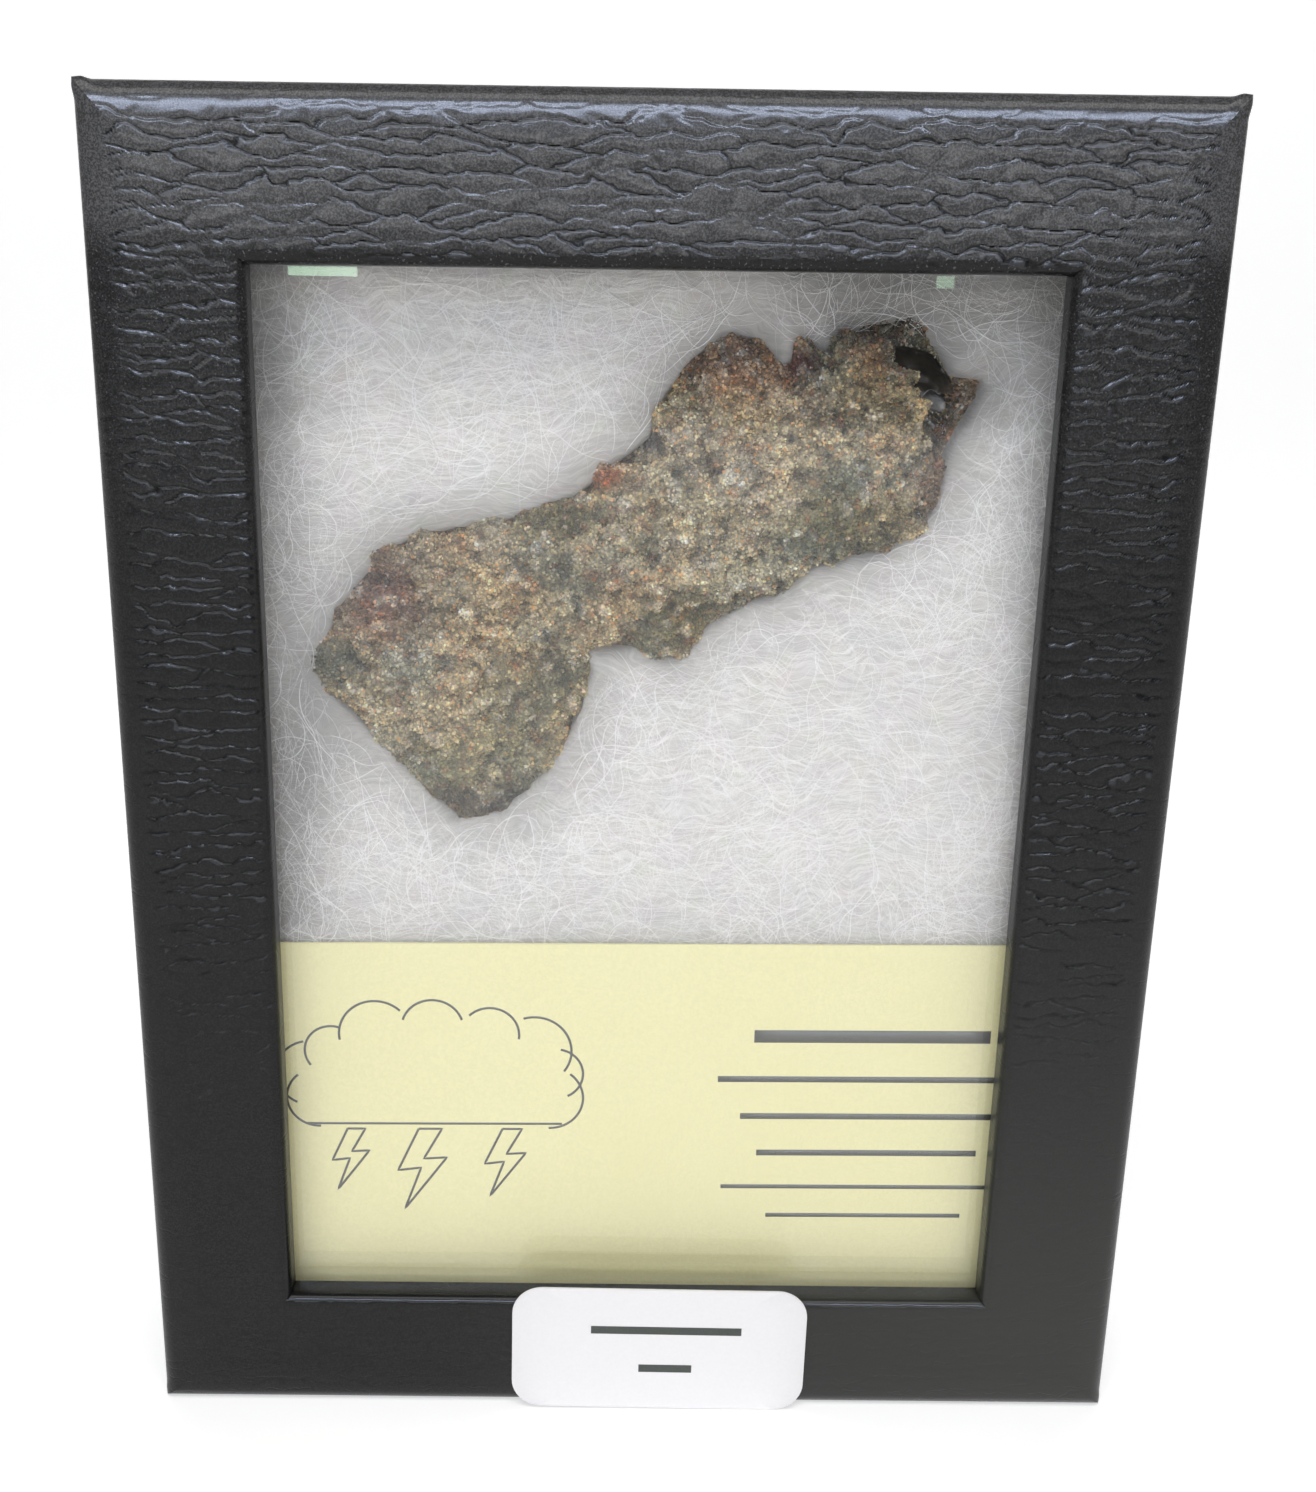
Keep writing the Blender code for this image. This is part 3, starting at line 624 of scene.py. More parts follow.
def crust_surface():
    """The tube's outside from the blade end to the broken rim, then its bore from the rim back in.

    The outside has knobs of three sizes, rounder beads on its left lobe and along its edges, steps of
    noise that make the edges ragged, and a fine jitter.  The bore has shallow bubbles, and lumps near its
    mouth.  The third result is painted light and shade for the crust's colour: painted shade in the
    hollows between the smaller knobs and painted light on their tops.
    """
    turn = np.linspace(0.0, 2 * math.pi, CRUST_COLUMNS, endpoint=False)[None, :]
    angle = turn + EVENING * np.sin(2 * turn)
    rim = FRONT_RIM + (BACK_RIM - FRONT_RIM) * smooth_step((0.15 - np.sin(angle)) / 0.5)
    rim = rim + 0.26 * np.sin(5.0 * angle + 1.0) + 0.2 * np.sin(13.0 * angle) + 0.12 * np.sin(29.0 * angle)
    s = np.linspace(0.0, 1.0, CRUST_ROWS)[:, None]
    t = s * rim
    around = np.broadcast_to(angle, t.shape)
    outside = tube_point(t, around)
    way = outward(t, around)
    table = np.random.default_rng(7).random((KNOB_TABLE,) * 3 + (3,))
    in_front = np.sin(around) > 0.1
    slender = np.where(in_front, (rim + 0.2 - t) / 1.4, (BACK_RIM + 1.0 - t) / 4.0)
    slender = np.clip(slender, np.where(in_front, 0.2, 0.8), 1.0)[..., None]
    shade = np.ones(t.shape)
    for size, height in KNOB_SIZES:
        bump = knobs(outside, size, table) - KNOB_LEVEL
        # painted light and shade: lighter on the smaller knobs, darker in the hollows between them
        if size < 2.0:
            shade = shade + 0.8 * (bump - 0.1)
        rougher = 1.0 + 0.6 * np.cos(around[..., None]) ** 4
        outside = outside + way * (height * bump[..., None] * slender * rougher)
    lobe = smooth_step((-13.0 - outside[..., 0]) / 4.0) * smooth_step((outside[..., 2] - 64.5) / 3.0)
    lobe = np.maximum(lobe, 1.0 - smooth_step(t / 1.0))
    lobe = np.maximum(lobe, 0.55 * np.cos(around) ** 6 * smooth_step((rim - t) / 1.5))
    beads = 1.25 * knobs(outside + 0.37, 1.55, table) ** 2 - KNOB_LEVEL
    spread = 0.35 * (1.0 - smooth_step(t / 1.0))
    outside = outside + way * (0.95 * beads * lobe + spread)[..., None]
    edge = np.maximum(np.cos(around) ** 6, 1.0 - smooth_step(t / 0.9))
    ragged = 0.5 * soft_noise(outside / 1.2, 32) + 0.36 * soft_noise(outside / 0.55, 33)
    ragged = ragged + 0.42 * np.tanh(3.5 * soft_noise(outside / 1.8, 34))
    jitter = 0.09 * soft_noise(outside / 0.42, 31) + ragged * edge
    outside = outside + way * (jitter * np.clip((rim - t) / 1.0, 0.6, 1.0))[..., None]
    s = np.linspace(0.0, 1.0, BORE_ROWS)[:, None]
    t = rim + (BORE_END - rim) * s
    closing = np.sqrt(1.0 - s**3)
    around = np.broadcast_to(angle, t.shape)
    inside = tube_point(t, around, TUBE_WALL, np.broadcast_to(closing, t.shape))
    swelling = 0.3 * knobs(inside, 1.7, table) + 0.24 * (knobs(inside, 0.8, table) - KNOB_LEVEL)
    lumps = knobs(inside + 5.0, 1.3, table) ** 2 * smooth_step((inside[..., 0] - 21.6) / 1.2)
    swelling = (swelling - 0.6 * lumps) * np.clip(12.0 * s * (1.0 - s), 0.0, 1.0)
    inside = inside + outward(t, around) * swelling[..., None]
    return outside, inside, np.clip(shade, 0.35, 1.35)


def crust_colour(points):
    """The crust's own colour: sand mottled with ash, with each stain laid over it as a soft round spot.

    Small spots of rust, dark glass and pale sand are scattered over all of it, and it is warmer in some
    places and cooler in others.
    """
    mottle = 0.52 + 0.7 * soft_noise(points / 2.6, 51) + 0.35 * soft_noise(points / 0.9, 52)
    share = smooth_step(mottle)[..., None]
    colour = np.array(SAND) * share + np.array(ASH) * (1.0 - share)
    wander = 0.9 * np.stack([soft_noise(points / 2.0, 53), soft_noise(points / 2.0, 54)], axis=-1)
    x, z = points[..., 0] + wander[..., 0], points[..., 2] + wander[..., 1]
    for stain_x, stain_z, reach_x, reach_z, stain, strength in STAINS:
        away = ((x - stain_x) / reach_x) ** 2 + ((z - stain_z) / reach_z) ** 2
        cover = (strength * np.exp(-(away**1.5)))[..., None]
        colour = colour * (1.0 - cover) + np.array(stain) * cover
    for seed, level, spot in ((55, 0.42, RUST_SPOT), (56, 0.40, DARK_SPOT), (57, 0.36, PALE_SPOT)):
        cover = 0.42 * smooth_step((soft_noise(points / 0.75, seed) - level) / 0.2)[..., None]
        colour = colour * (1.0 - cover) + np.array(spot) * cover
    warmth = 0.13 * soft_noise(points / 3.1, 58)
    return colour * (1.0 + np.stack([warmth, 0.1 * warmth, -warmth], axis=-1))


def with_alpha(colours):
    """Colours with a fourth value of one, as colour attributes need."""
    return np.concatenate([colours, np.ones(colours.shape[:-1] + (1,))], axis=-1)


def crust_material():
    """Fused sand: the stored colour, broken up by grains with painted shade between them; the bore is dark,
    smooth and glassy.
    """
    material, tree, shader = new_material("sand_crust", 0.8)
    place = object_place(tree)
    own = stored_value(tree, "crust_colour", "Color")
    bore = stored_value(tree, "bore")
    grains = add_node(tree, "ShaderNodeTexVoronoi", {"Vector": place, "Scale": 4200.0})
    shade = soft_range(tree, grains.outputs["Color"], 0.1, 0.9, 0.6, 1.3)
    shaded = scaled(tree, own, shade)
    # painted shade: darker away from each grain's middle, in the gaps between grains
    grain_gap_shade = soft_range(tree, grains.outputs["Distance"], 0.2, 0.7, 1.0, 0.65)
    shaded = scaled(tree, shaded, grain_gap_shade)
    streak = noise_texture(tree, place, 1100.0, 3.0)
    glassy = add_node(tree, "ShaderNodeValToRGB", {"Fac": streak.outputs["Fac"]})
    ramp = glassy.color_ramp
    ramp.elements[0].position, ramp.elements[0].color = 0.35, (0.006, 0.006, 0.005, 1.0)
    ramp.elements[1].position, ramp.elements[1].color = 0.75, (0.060, 0.046, 0.030, 1.0)
    colour = blend_colours(tree, bore, shaded, glassy.outputs["Color"])
    tree.links.new(colour, shader.inputs["Base Color"])
    rough = soft_range(tree, bore, 0.3, 1.0, 0.85, 0.3)
    tree.links.new(rough, shader.inputs["Roughness"])
    rise = soft_range(tree, bore, 0.2, 0.9, -1.0, -0.05)
    height = math_node(tree, "MULTIPLY", grains.outputs["Distance"], rise)
    add_relief(tree, shader, height, 0.8, 0.12)
    return material


def pierce(piece):
    """Cuts the hole through the rear wall with a many-sided plug, and keeps the cut mesh.

    The plug runs along the depth and narrows towards the front; two sines make its outline uneven.
    """
    turn = np.linspace(0.0, 2 * math.pi, PLUG_SIDES, endpoint=False)
    angle = math.pi / 2 - turn
    reach = PIERCING_RADIUS * (1.0 + 0.22 * np.sin(3.0 * angle + 0.6) + 0.08 * np.sin(7.0 * angle))
    middle = TUBE_MIDDLE_DEPTH + 4.0
    rings = []
    for share, depth in ((1.0, middle + PLUG_LENGTH / 2), (0.9, middle - PLUG_LENGTH / 2)):
        x = PIERCING[0] + share * reach * np.cos(angle)
        z = PIERCING[1] + share * reach * np.sin(angle)
        rings.append(np.stack([x, np.full(x.shape, depth), z], axis=-1))
    sides = grid_quads(2, PLUG_SIDES, closed=True)
    caps = np.stack([np.arange(PLUG_SIDES)[::-1], np.arange(PLUG_SIDES) + PLUG_SIDES])
    mesh = new_mesh("plug", np.stack(rings), [sides, caps])
    weld(mesh)
    plug = bpy.data.objects.new("plug", mesh)
    bpy.context.scene.collection.objects.link(plug)
    cut = piece.modifiers.new("piercing", "BOOLEAN")
    cut.operation = "DIFFERENCE"
    cut.object = plug
    bpy.context.view_layer.update()
    finished = piece.evaluated_get(bpy.context.evaluated_depsgraph_get())
    whole = piece.data
    piece.data = bpy.data.meshes.new_from_object(finished)
    piece.modifiers.remove(cut)
    bpy.data.objects.remove(plug)
    bpy.data.meshes.remove(whole)


def add_crust():
    """The crust as one closed piece.  Returns its grid of points, their painted light and shade and how far
    each is bore.
    """
    outside, inside, shade = crust_surface()
    points = np.concatenate([outside, inside])
    # painted shade of 0.8 inside the bore
    shade = np.concatenate([shade, np.full(inside.shape[:2], 0.8)])
    faces = [grid_quads(len(points), CRUST_COLUMNS, closed=True)]
    piece = new_piece("fulgurite_crust", points, faces, crust_material())
    # the crust's colour with its painted light and shade multiplied in
    add_values(piece, "crust_colour", with_alpha((crust_colour(points) * shade[..., None]).reshape(-1, 3)))
    rows = np.arange(len(points))[:, None]
    bore = smooth_step((rows - len(outside) + 3.0) / 7.0)
    from_cavity = np.hypot(points[..., 0] - CAVITY[0], points[..., 2] - CAVITY[1]) / CAVITY[2]
    bore = bore * (1.0 - 0.9 * smooth_step(from_cavity - 0.75))
    add_values(piece, "bore", bore.ravel())
    weld(piece.data)  # after the values, which are stored for the grid's own points
    pierce(piece)
    piece.data.shade_smooth()
    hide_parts("fulgurite")
    grown = len(outside) + GRAIN_ROWS_INSIDE
    return points[:grown], shade[:grown], bore[:grown]


GRAIN_ROWS_INSIDE = 20
GRAINS = 24000
GRAIN_RADIUS = 0.1
GRAIN_KINDS = (
    ((1.72, 1.68, 1.55), 0.17),
    ((1.28, 1.17, 0.95), 0.28),
    ((1.00, 0.97, 0.92), 0.24),
    ((0.70, 0.70, 0.63), 0.15),
    ((0.36, 0.35, 0.35), 0.08),
    ((1.45, 0.92, 0.58), 0.08),
)


def add_grains(skin, shade, bore, number, seed):
    """Sand grains stuck to the crust: small uneven octahedra, each with its own kind of mineral colour.

    They are strewn over the skin's quads in proportion to area, thinner where it faces the batting, thicker
    just inside the rim, and none on the glassy bore.
    """
    rng = np.random.default_rng(seed)
    a, b = skin[:-1], skin[1:]
    c, d = np.roll(b, -1, axis=1), np.roll(a, -1, axis=1)
    normal = np.cross(c - a, b - d)
    area = np.linalg.norm(normal, axis=-1)
    normal = normal / np.maximum(area, 1e-9)[..., None]
    if (normal[..., 1] * (a[..., 1] - TUBE_MIDDLE_DEPTH)).sum() < 0:
        normal = -normal
    seen = np.where(normal[..., 1] < 0.35, 1.0, 0.12)
    seen[a[..., 1] > TUBE_MIDDLE_DEPTH + 1.5] *= 0.5
    seen[-GRAIN_ROWS_INSIDE:] = 1.4
    weight = (area * seen * smooth_step(1.5 - 2.5 * bore[:-1])).ravel()
    picked = rng.choice(weight.size, GRAINS, p=weight / weight.sum())
    u, v = rng.random((2, GRAINS, 1))
    corners = [side.reshape(-1, 3)[picked] for side in (a, b, c, d)]
    near = corners[0] * (1 - u) + corners[1] * u
    far = corners[3] * (1 - u) + corners[2] * u
    place = near * (1 - v) + far * v
    way = normal.reshape(-1, 3)[picked]
    size = GRAIN_RADIUS * (0.55 + 1.35 * rng.random((GRAINS, 1)) ** 2.2)
    place = place + way * size * 0.35
    axes = np.linalg.qr(rng.normal(size=(GRAINS, 3, 3)))[0]
    stretch = rng.uniform(0.75, 1.3, (GRAINS, 3, 1)) * size[:, :, None]
    axes = axes * stretch
    points = np.concatenate([place[:, None] + axes, place[:, None] - axes], axis=1)
    handed = np.linalg.det(axes) > 0
    octahedron = [(0, 1, 2), (1, 3, 2), (3, 4, 2), (4, 0, 2), (1, 0, 5), (3, 1, 5), (4, 3, 5), (0, 4, 5)]
    faces = np.array(octahedron)[None] + (np.arange(GRAINS) * 6)[:, None, None]
    faces[~handed] = faces[~handed][:, :, ::-1]
    tints = np.array([kind[0] for kind in GRAIN_KINDS])
    shares = np.array([kind[1] for kind in GRAIN_KINDS])
    kinds = rng.choice(len(tints), GRAINS, p=shares / shares.sum())
    tint = tints[kinds] * rng.uniform(0.82, 1.18, (GRAINS, 1))
    # each grain takes the crust's painted light and shade where it sits
    colour = np.clip(crust_colour(place) * tint * shade.ravel()[picked, None], 0.0, 0.85)
    material, tree, shader = new_material(f"sand_grains_{number}", 0.45)
    own = stored_value(tree, "grain_colour", "Color")
    spot = object_place(tree)
    cloud = noise_texture(tree, spot, 9000.0, 1.0)
    milky = soft_range(tree, cloud.outputs["Fac"], 0.3, 0.7, 0.8, 1.2)
    tree.links.new(scaled(tree, own, milky), shader.inputs["Base Color"])
    piece = new_piece(f"fulgurite_sand_grains_{number}", points, [faces.reshape(-1, 3)], material)
    piece.data.shade_flat()
    add_values(piece, "grain_colour", with_alpha(np.repeat(colour, 6, axis=0)))


crust = add_crust()
add_grains(*crust, 1, 61)
add_grains(*crust, 2, 62)

# ---- card ----
# A pale yellow printed card, cut by hand and laid on the batting behind the lower half of the window.
# Thin grey print: a plain storm cloud with bolts on the left and ruled lines on the right.

CARD_SIZE = (70.0, 37.0)
CARD_THICKNESS = 0.3
CARD_FRONT = 4.8
CARD_MIDDLE = (1.5, 23.6)
CARD_TILT = math.radians(0.45)
INK_HEIGHT = 0.012


def on_card(u, v, out=0.0):
    """Card coordinates, in mm from its middle, to space; the card buckles by a few hundredths."""
    x = CARD_MIDDLE[0] + u * math.cos(CARD_TILT) - v * math.sin(CARD_TILT)
    z = CARD_MIDDLE[1] + u * math.sin(CARD_TILT) + v * math.cos(CARD_TILT)
    buckle = 0.035 * np.sin(0.09 * u + 0.7) * np.cos(0.11 * v)
    return np.stack([x, CARD_FRONT + 0.04 + buckle - out, z], axis=-1)


def card_material():
    """Uncoated yellow card with fine fibres and a faint warm mottle."""
    material, tree, shader = new_material("yellow_card", 0.75)
    place = object_place(tree)
    fibre = noise_texture(tree, place, 5200.0, 3.0)
    cloud = noise_texture(tree, place, 120.0, 2.0)
    colour = blend_colours(tree, cloud.outputs["Fac"], (0.925, 0.86, 0.475, 1.0), (0.95, 0.895, 0.53, 1.0))
    speck = soft_range(tree, fibre.outputs["Fac"], 0.3, 0.75, 0.955, 1.03)
    colour = scaled(tree, colour, speck)
    tree.links.new(colour, shader.inputs["Base Color"])
    add_relief(tree, shader, fibre.outputs["Fac"], 0.25, 0.02)
    return material


def add_card():
    """The card as a thin closed slab that buckles a little."""
    half_width, half_height = CARD_SIZE[0] / 2, CARD_SIZE[1] / 2
    u, v = np.meshgrid(np.linspace(-half_width, half_width, 71), np.linspace(-half_height, half_height, 38))
    points, faces = slab(on_card(u, v), on_card(u, v, -CARD_THICKNESS + 0.02))
    card = new_piece("printed_card", points, faces, card_material())
    card.data.set_sharp_from_angle(angle=math.radians(50))
    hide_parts("label_card")


def stroke(path, width):
    """A printed line along a path (points, uv) on the card: a flat ribbon with closed sides and ends."""
    path = np.asarray(path, dtype=float)
    along = np.gradient(path, axis=0)
    along /= np.linalg.norm(along, axis=1, keepdims=True)
    side = np.stack([-along[:, 1], along[:, 0]], axis=1) * width / 2
    left, right = path + side, path - side
    ring = [
        on_card(left[:, 0], left[:, 1], -0.02),
        on_card(left[:, 0], left[:, 1], INK_HEIGHT),
        on_card(right[:, 0], right[:, 1], INK_HEIGHT),
        on_card(right[:, 0], right[:, 1], -0.02),
    ]
    points = np.stack(ring, axis=1)
    caps = np.array([[3, 2, 1, 0], [0, 1, 2, 3]])
    caps[1] += 4 * (len(path) - 1)
    return points.reshape(-1, 3), np.concatenate([grid_quads(len(path), 4, closed=True), caps])


def join_strokes(strokes):
    """One set of points and faces from many strokes."""
    starts = np.cumsum([0] + [len(stroke_points) for stroke_points, _ in strokes[:-1]])
    points = np.concatenate([stroke_points for stroke_points, _ in strokes])
    faces = np.concatenate([stroke_faces + start for start, (_, stroke_faces) in zip(starts, strokes)])
    return points, [faces]


def puff(middle, radius, start, end):
    """An arc of a cloud's edge."""
    angles = np.radians(np.linspace(start, end, 22))
    return np.stack([middle[0] + radius * np.cos(angles), middle[1] + radius * np.sin(angles)], axis=1)


def polyline(corners, step=0.6):
    """Straight runs between corners, with points close enough to keep the corners crisp."""
    runs = []
    for a, b in zip(corners[:-1], corners[1:]):
        count = max(2, int(math.dist(a, b) / step))
        runs.append(np.linspace(a, b, count, endpoint=False))
    runs.append(np.array([corners[-1]], dtype=float))
    return np.concatenate(runs)


CLOUD_MIDDLE = (-19.0, 6.0)
CLOUD_REACH = (10.5, 4.8)
CLOUD_BASE = CLOUD_MIDDLE[1] - 4.1
CLOUD_PUFFS = 9
LINE_WIDTH = 0.2


def cloud_strokes():
    """A flat-bottomed cloud: puffs set evenly round the upper half of an ellipse, over a level base."""
    strokes = []
    turns = np.linspace(math.radians(200), math.radians(-20), CLOUD_PUFFS)
    for i, turn in enumerate(turns):
        middle = (
            CLOUD_MIDDLE[0] + CLOUD_REACH[0] * math.cos(turn),
            CLOUD_MIDDLE[1] + CLOUD_REACH[1] * math.sin(turn),
        )
        radius = 2.7 + 0.45 * math.sin(2.4 * i)
        facing = math.degrees(turn)
        strokes.append(stroke(puff(middle, radius, facing - 72, facing + 72), LINE_WIDTH))
    edge = CLOUD_REACH[0] + 0.4
    level = [(CLOUD_MIDDLE[0] - edge, CLOUD_BASE), (CLOUD_MIDDLE[0] + edge, CLOUD_BASE)]
    strokes.append(stroke(polyline(level), LINE_WIDTH))
    return strokes


def bolt(top, size):
    """A zigzag bolt as a closed line: down one side in three steps and back up the other."""
    shape = [(0, 0), (-1.5, -3.2), (0.1, -3.0), (-1.1, -6.2), (1.9, -2.2), (0.3, -2.3), (1.6, 0), (0, 0)]
    return stroke(polyline([(top[0] + size * x, top[1] + size * y) for x, y in shape], 0.25), LINE_WIDTH)


# the bolts, as top x and size, and the ruled lines, as height, length and weight
BOLTS = ((-26.5, 0.95), (-20.4, 1.25), (-13.2, 1.05))
RULES = (
    (10.2, 20.0, 1.15),
    (6.2, 26.0, 0.55),
    (2.7, 22.0, 0.55),
    (-0.8, 19.0, 0.55),
    (-4.1, 25.0, 0.38),
    (-6.9, 17.0, 0.38),
)
RULES_MIDDLE = 18.2


def add_print():
    """The card's print as one thin mesh of ink."""
    strokes = cloud_strokes()
    for x, size in BOLTS:
        strokes.append(bolt((x, CLOUD_BASE - 0.5), size))
    for v, width, weight in RULES:
        ends = [(RULES_MIDDLE - width / 2, v), (RULES_MIDDLE + width / 2, v)]
        strokes.append(stroke(polyline(ends, 2.0), weight))
    material, tree, shader = new_material("grey_ink", 0.6)
    place = object_place(tree)
    specks = noise_texture(tree, place, 8000.0, 2.0)
    ink = blend_colours(tree, specks.outputs["Fac"], (0.060, 0.060, 0.052, 1.0), (0.150, 0.148, 0.130, 1.0))
    tree.links.new(ink, shader.inputs["Base Color"])
    points, faces = join_strokes(strokes)
    piece = new_piece("card_print", points, faces, material)


add_card()
add_print()

# ---- glass ----
# A pane of clear float glass laid inside the lid, behind the window.  It presses on card and batting.
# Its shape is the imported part's own; only its material is given here.


def clear_glass():
    """Clear glass that lets the lamps' light through to what lies behind it."""
    material, tree, shader = new_material("clear_pane", 0.0, Transmission_Weight=1.0, IOR=1.5)
    shader.inputs["Base Color"].default_value = (0.985, 0.99, 0.985, 1.0)
    output = tree.nodes["Material Output"]
    path = add_node(tree, "ShaderNodeLightPath")
    clear = add_node(tree, "ShaderNodeBsdfTransparent", {"Color": (0.97, 0.972, 0.968, 1.0)})
    seen = shader.outputs[0]
    for ray in ("Is Shadow Ray", "Is Diffuse Ray"):
        mix = add_node(tree, "ShaderNodeMixShader", {0: path.outputs[ray]})
        tree.links.new(seen, mix.inputs[1])
        tree.links.new(clear.outputs[0], mix.inputs[2])
        seen = mix.outputs[0]
    tree.links.new(seen, output.inputs["Surface"])
    return material


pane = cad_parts["glass_pane"]
pane.data.materials.clear()
pane.data.materials.append(clear_glass())

# ---- lid ----
# A cardboard lid wrapped in one sheet of black embossed paper that is folded in round the window and down
# over the sides.  It is made as four rails that meet at mitres, each the lid's section carried between two
# corners.  The paper's creases run level on all four, and folded corners stand out as small ears.

LID_DEPTH = 18.45
LID_WALL = 1.4
FACE_BOARD = 2.3
OUTER_ROUNDING = 1.25
WINDOW_ROUNDING = 0.9
RIM_ROUNDING = 0.35
WINDOW = (-29.7, 29.7, 10.9, 95.7)
BOX = (-41.275, 41.275, 0.0, 107.95)
CREASE_CELL = (4.7, 1.16)
CREASE_TABLE = 128
CREASE_WIDTH = 0.1
CREASE_DEPTH = 0.105
LIP_HEIGHT = 0.038
CROWN_SLOPE = 0.22
CROWN_REACH = 2.8
CROWN_FADE = 2.3
EAR_REACH = 0.42
EAR_SPAN = (0.65, 1.5)
# the parts of a rail's section, counted from the window's edge
FACE, ROUNDING, SIDE, RIM = 2, 3, 4, 5


def paper_creases(across, up):
    """Three values from 0 to 1 for each point of the unfolded sheet: crease, lip and puff.

    The sheet is divided into long flat cells round jittered points.  The distance in mm to the border
    between the two nearest points is half the difference of their squared distances over its slope.
    Level borders open widest, patches of noise close some, and the box's lower third stays almost smooth.
    A lip stands just below each level crease, and the paper is puffed up between the creases.
    """
    spot = np.stack([across, up, np.full(across.shape, 0.3)], axis=-1)
    wide = soft_noise(spot / np.array((3.4, 1.6, 1.0)), 71)
    fine = soft_noise(spot / np.array((0.85, 0.6, 1.0)), 72)
    tiny = soft_noise(spot / np.array((0.38, 0.4, 1.0)), 76)
    steps = np.tanh(4.0 * soft_noise(spot / np.array((1.5, 1.1, 1.0)), 77))
    lift = 0.30 * wide + 0.19 * fine + 0.12 * tiny + 0.15 * steps
    shift = 0.6 * soft_noise(spot / 1.3, 73)
    cell = np.stack([(across + shift) / CREASE_CELL[0], (up + lift) / CREASE_CELL[1]], axis=-1)
    table = np.random.default_rng(74).random((CREASE_TABLE, CREASE_TABLE, 2))
    corner = np.floor(cell)
    first, second = np.full(across.shape, 99.0), np.full(across.shape, 99.0)
    first_at, second_at = np.zeros(cell.shape), np.zeros(cell.shape)
    for step in itertools.product((-1, 0, 1), repeat=2):
        place = corner + step
        i = np.mod(place, CREASE_TABLE).astype(int)
        centre = place + table[i[..., 0], i[..., 1]]
        away = ((cell - centre) ** 2).sum(axis=-1)
        nearer = away < first
        not_nearer = np.where((away < second)[..., None], centre, second_at)
        second_at = np.where(nearer[..., None], first_at, not_nearer)
        second = np.where(nearer, first, np.minimum(second, away))
        first_at = np.where(nearer[..., None], centre, first_at)
        first = np.where(nearer, away, first)
    gap = (first_at - second_at) / np.array(CREASE_CELL)
    slope = np.linalg.norm(gap, axis=-1) + 1e-6
    border = 0.5 * (second - first) / slope
    level = smooth_step((np.abs(gap[..., 1]) / slope - 0.68) / 0.28)
    patches = soft_noise(spot / np.array((4.5, 1.3, 1.0)), 75)
    opened = (0.08 + 0.92 * level) * (0.2 + 0.8 * smooth_step((patches + 0.6) / 0.6))
    strength = 0.24 + 0.76 * smooth_step((up - 22.0) / 34.0)
    crease = np.exp(-((border / CREASE_WIDTH) ** 2)) * opened
    below = smooth_step(0.5 - 2.0 * gap[..., 1] / slope)
    lip = np.exp(-(((border - 0.18) / 0.085) ** 2)) * opened * below * (0.7 + 0.7 * tiny)
    puffed = 1.0 - np.exp(-border / 0.45)
    return crease * strength, np.clip(lip, 0.0, 1.0) * strength, puffed * strength


def rail_section(border, face_points, side_points):
    """A rail's section as a closed ring: out from the window's edge, depth, and way along the paper (mm).

    It is made of straight runs and quarter turns: in through the window's edge, over the face, round and
    down the side, over the rim and back along the inside.  Towards the outer edge the face bends back
    along a parabola.
    """

    def line(start, end, count):
        """A straight run that stops one step short of its end."""
        return np.linspace(start, end, count, endpoint=False)

    def arc(middle, radius, start, count):
        """A quarter turn from the start angle, again one step short."""
        angles = np.radians(start + np.linspace(0.0, 90.0, count, endpoint=False))
        return np.stack([middle[0] + radius * np.cos(angles), middle[1] + radius * np.sin(angles)], axis=1)

    inner = border - LID_WALL
    rim = LID_DEPTH - RIM_ROUNDING
    parts = [
        line((0.0, FACE_BOARD), (0.0, WINDOW_ROUNDING), 5),
        arc((WINDOW_ROUNDING, WINDOW_ROUNDING), WINDOW_ROUNDING, 180.0, 9),
        line((WINDOW_ROUNDING, 0.0), (border - OUTER_ROUNDING, 0.0), face_points),
        arc((border - OUTER_ROUNDING, OUTER_ROUNDING), OUTER_ROUNDING, -90.0, face_points // 3),
        line((border, OUTER_ROUNDING), (border, rim), side_points),
        arc((border - RIM_ROUNDING, rim), RIM_ROUNDING, 0.0, 4),
        line((border - RIM_ROUNDING, LID_DEPTH), (inner + RIM_ROUNDING, LID_DEPTH), 3),
        arc((inner + RIM_ROUNDING, rim), RIM_ROUNDING, 90.0, 4),
        line((inner, rim), (inner, FACE_BOARD), 10),
        line((inner, FACE_BOARD), (0.0, FACE_BOARD), 8),
    ]
    ring = np.concatenate(parts)
    run = np.maximum(ring[:, 0] - border + OUTER_ROUNDING + CROWN_REACH, 0.0)
    bent = np.minimum(run, CROWN_REACH)
    crown = CROWN_SLOPE * (bent**2 / (2.0 * CROWN_REACH) + run - bent)
    ring[:, 1] += crown * np.clip(1.0 - ring[:, 1] / CROWN_FADE, 0.0, 1.0)
    lengths = np.linalg.norm(np.diff(ring, axis=0), axis=1)
    way = np.concatenate([[0.0], np.cumsum(lengths)])
    on_face = len(parts[0]) + len(parts[1])
    way = way - way[on_face] + WINDOW_ROUNDING
    kinds = np.repeat(np.arange(len(parts)), [len(part) for part in parts])
    return ring, way, kinds


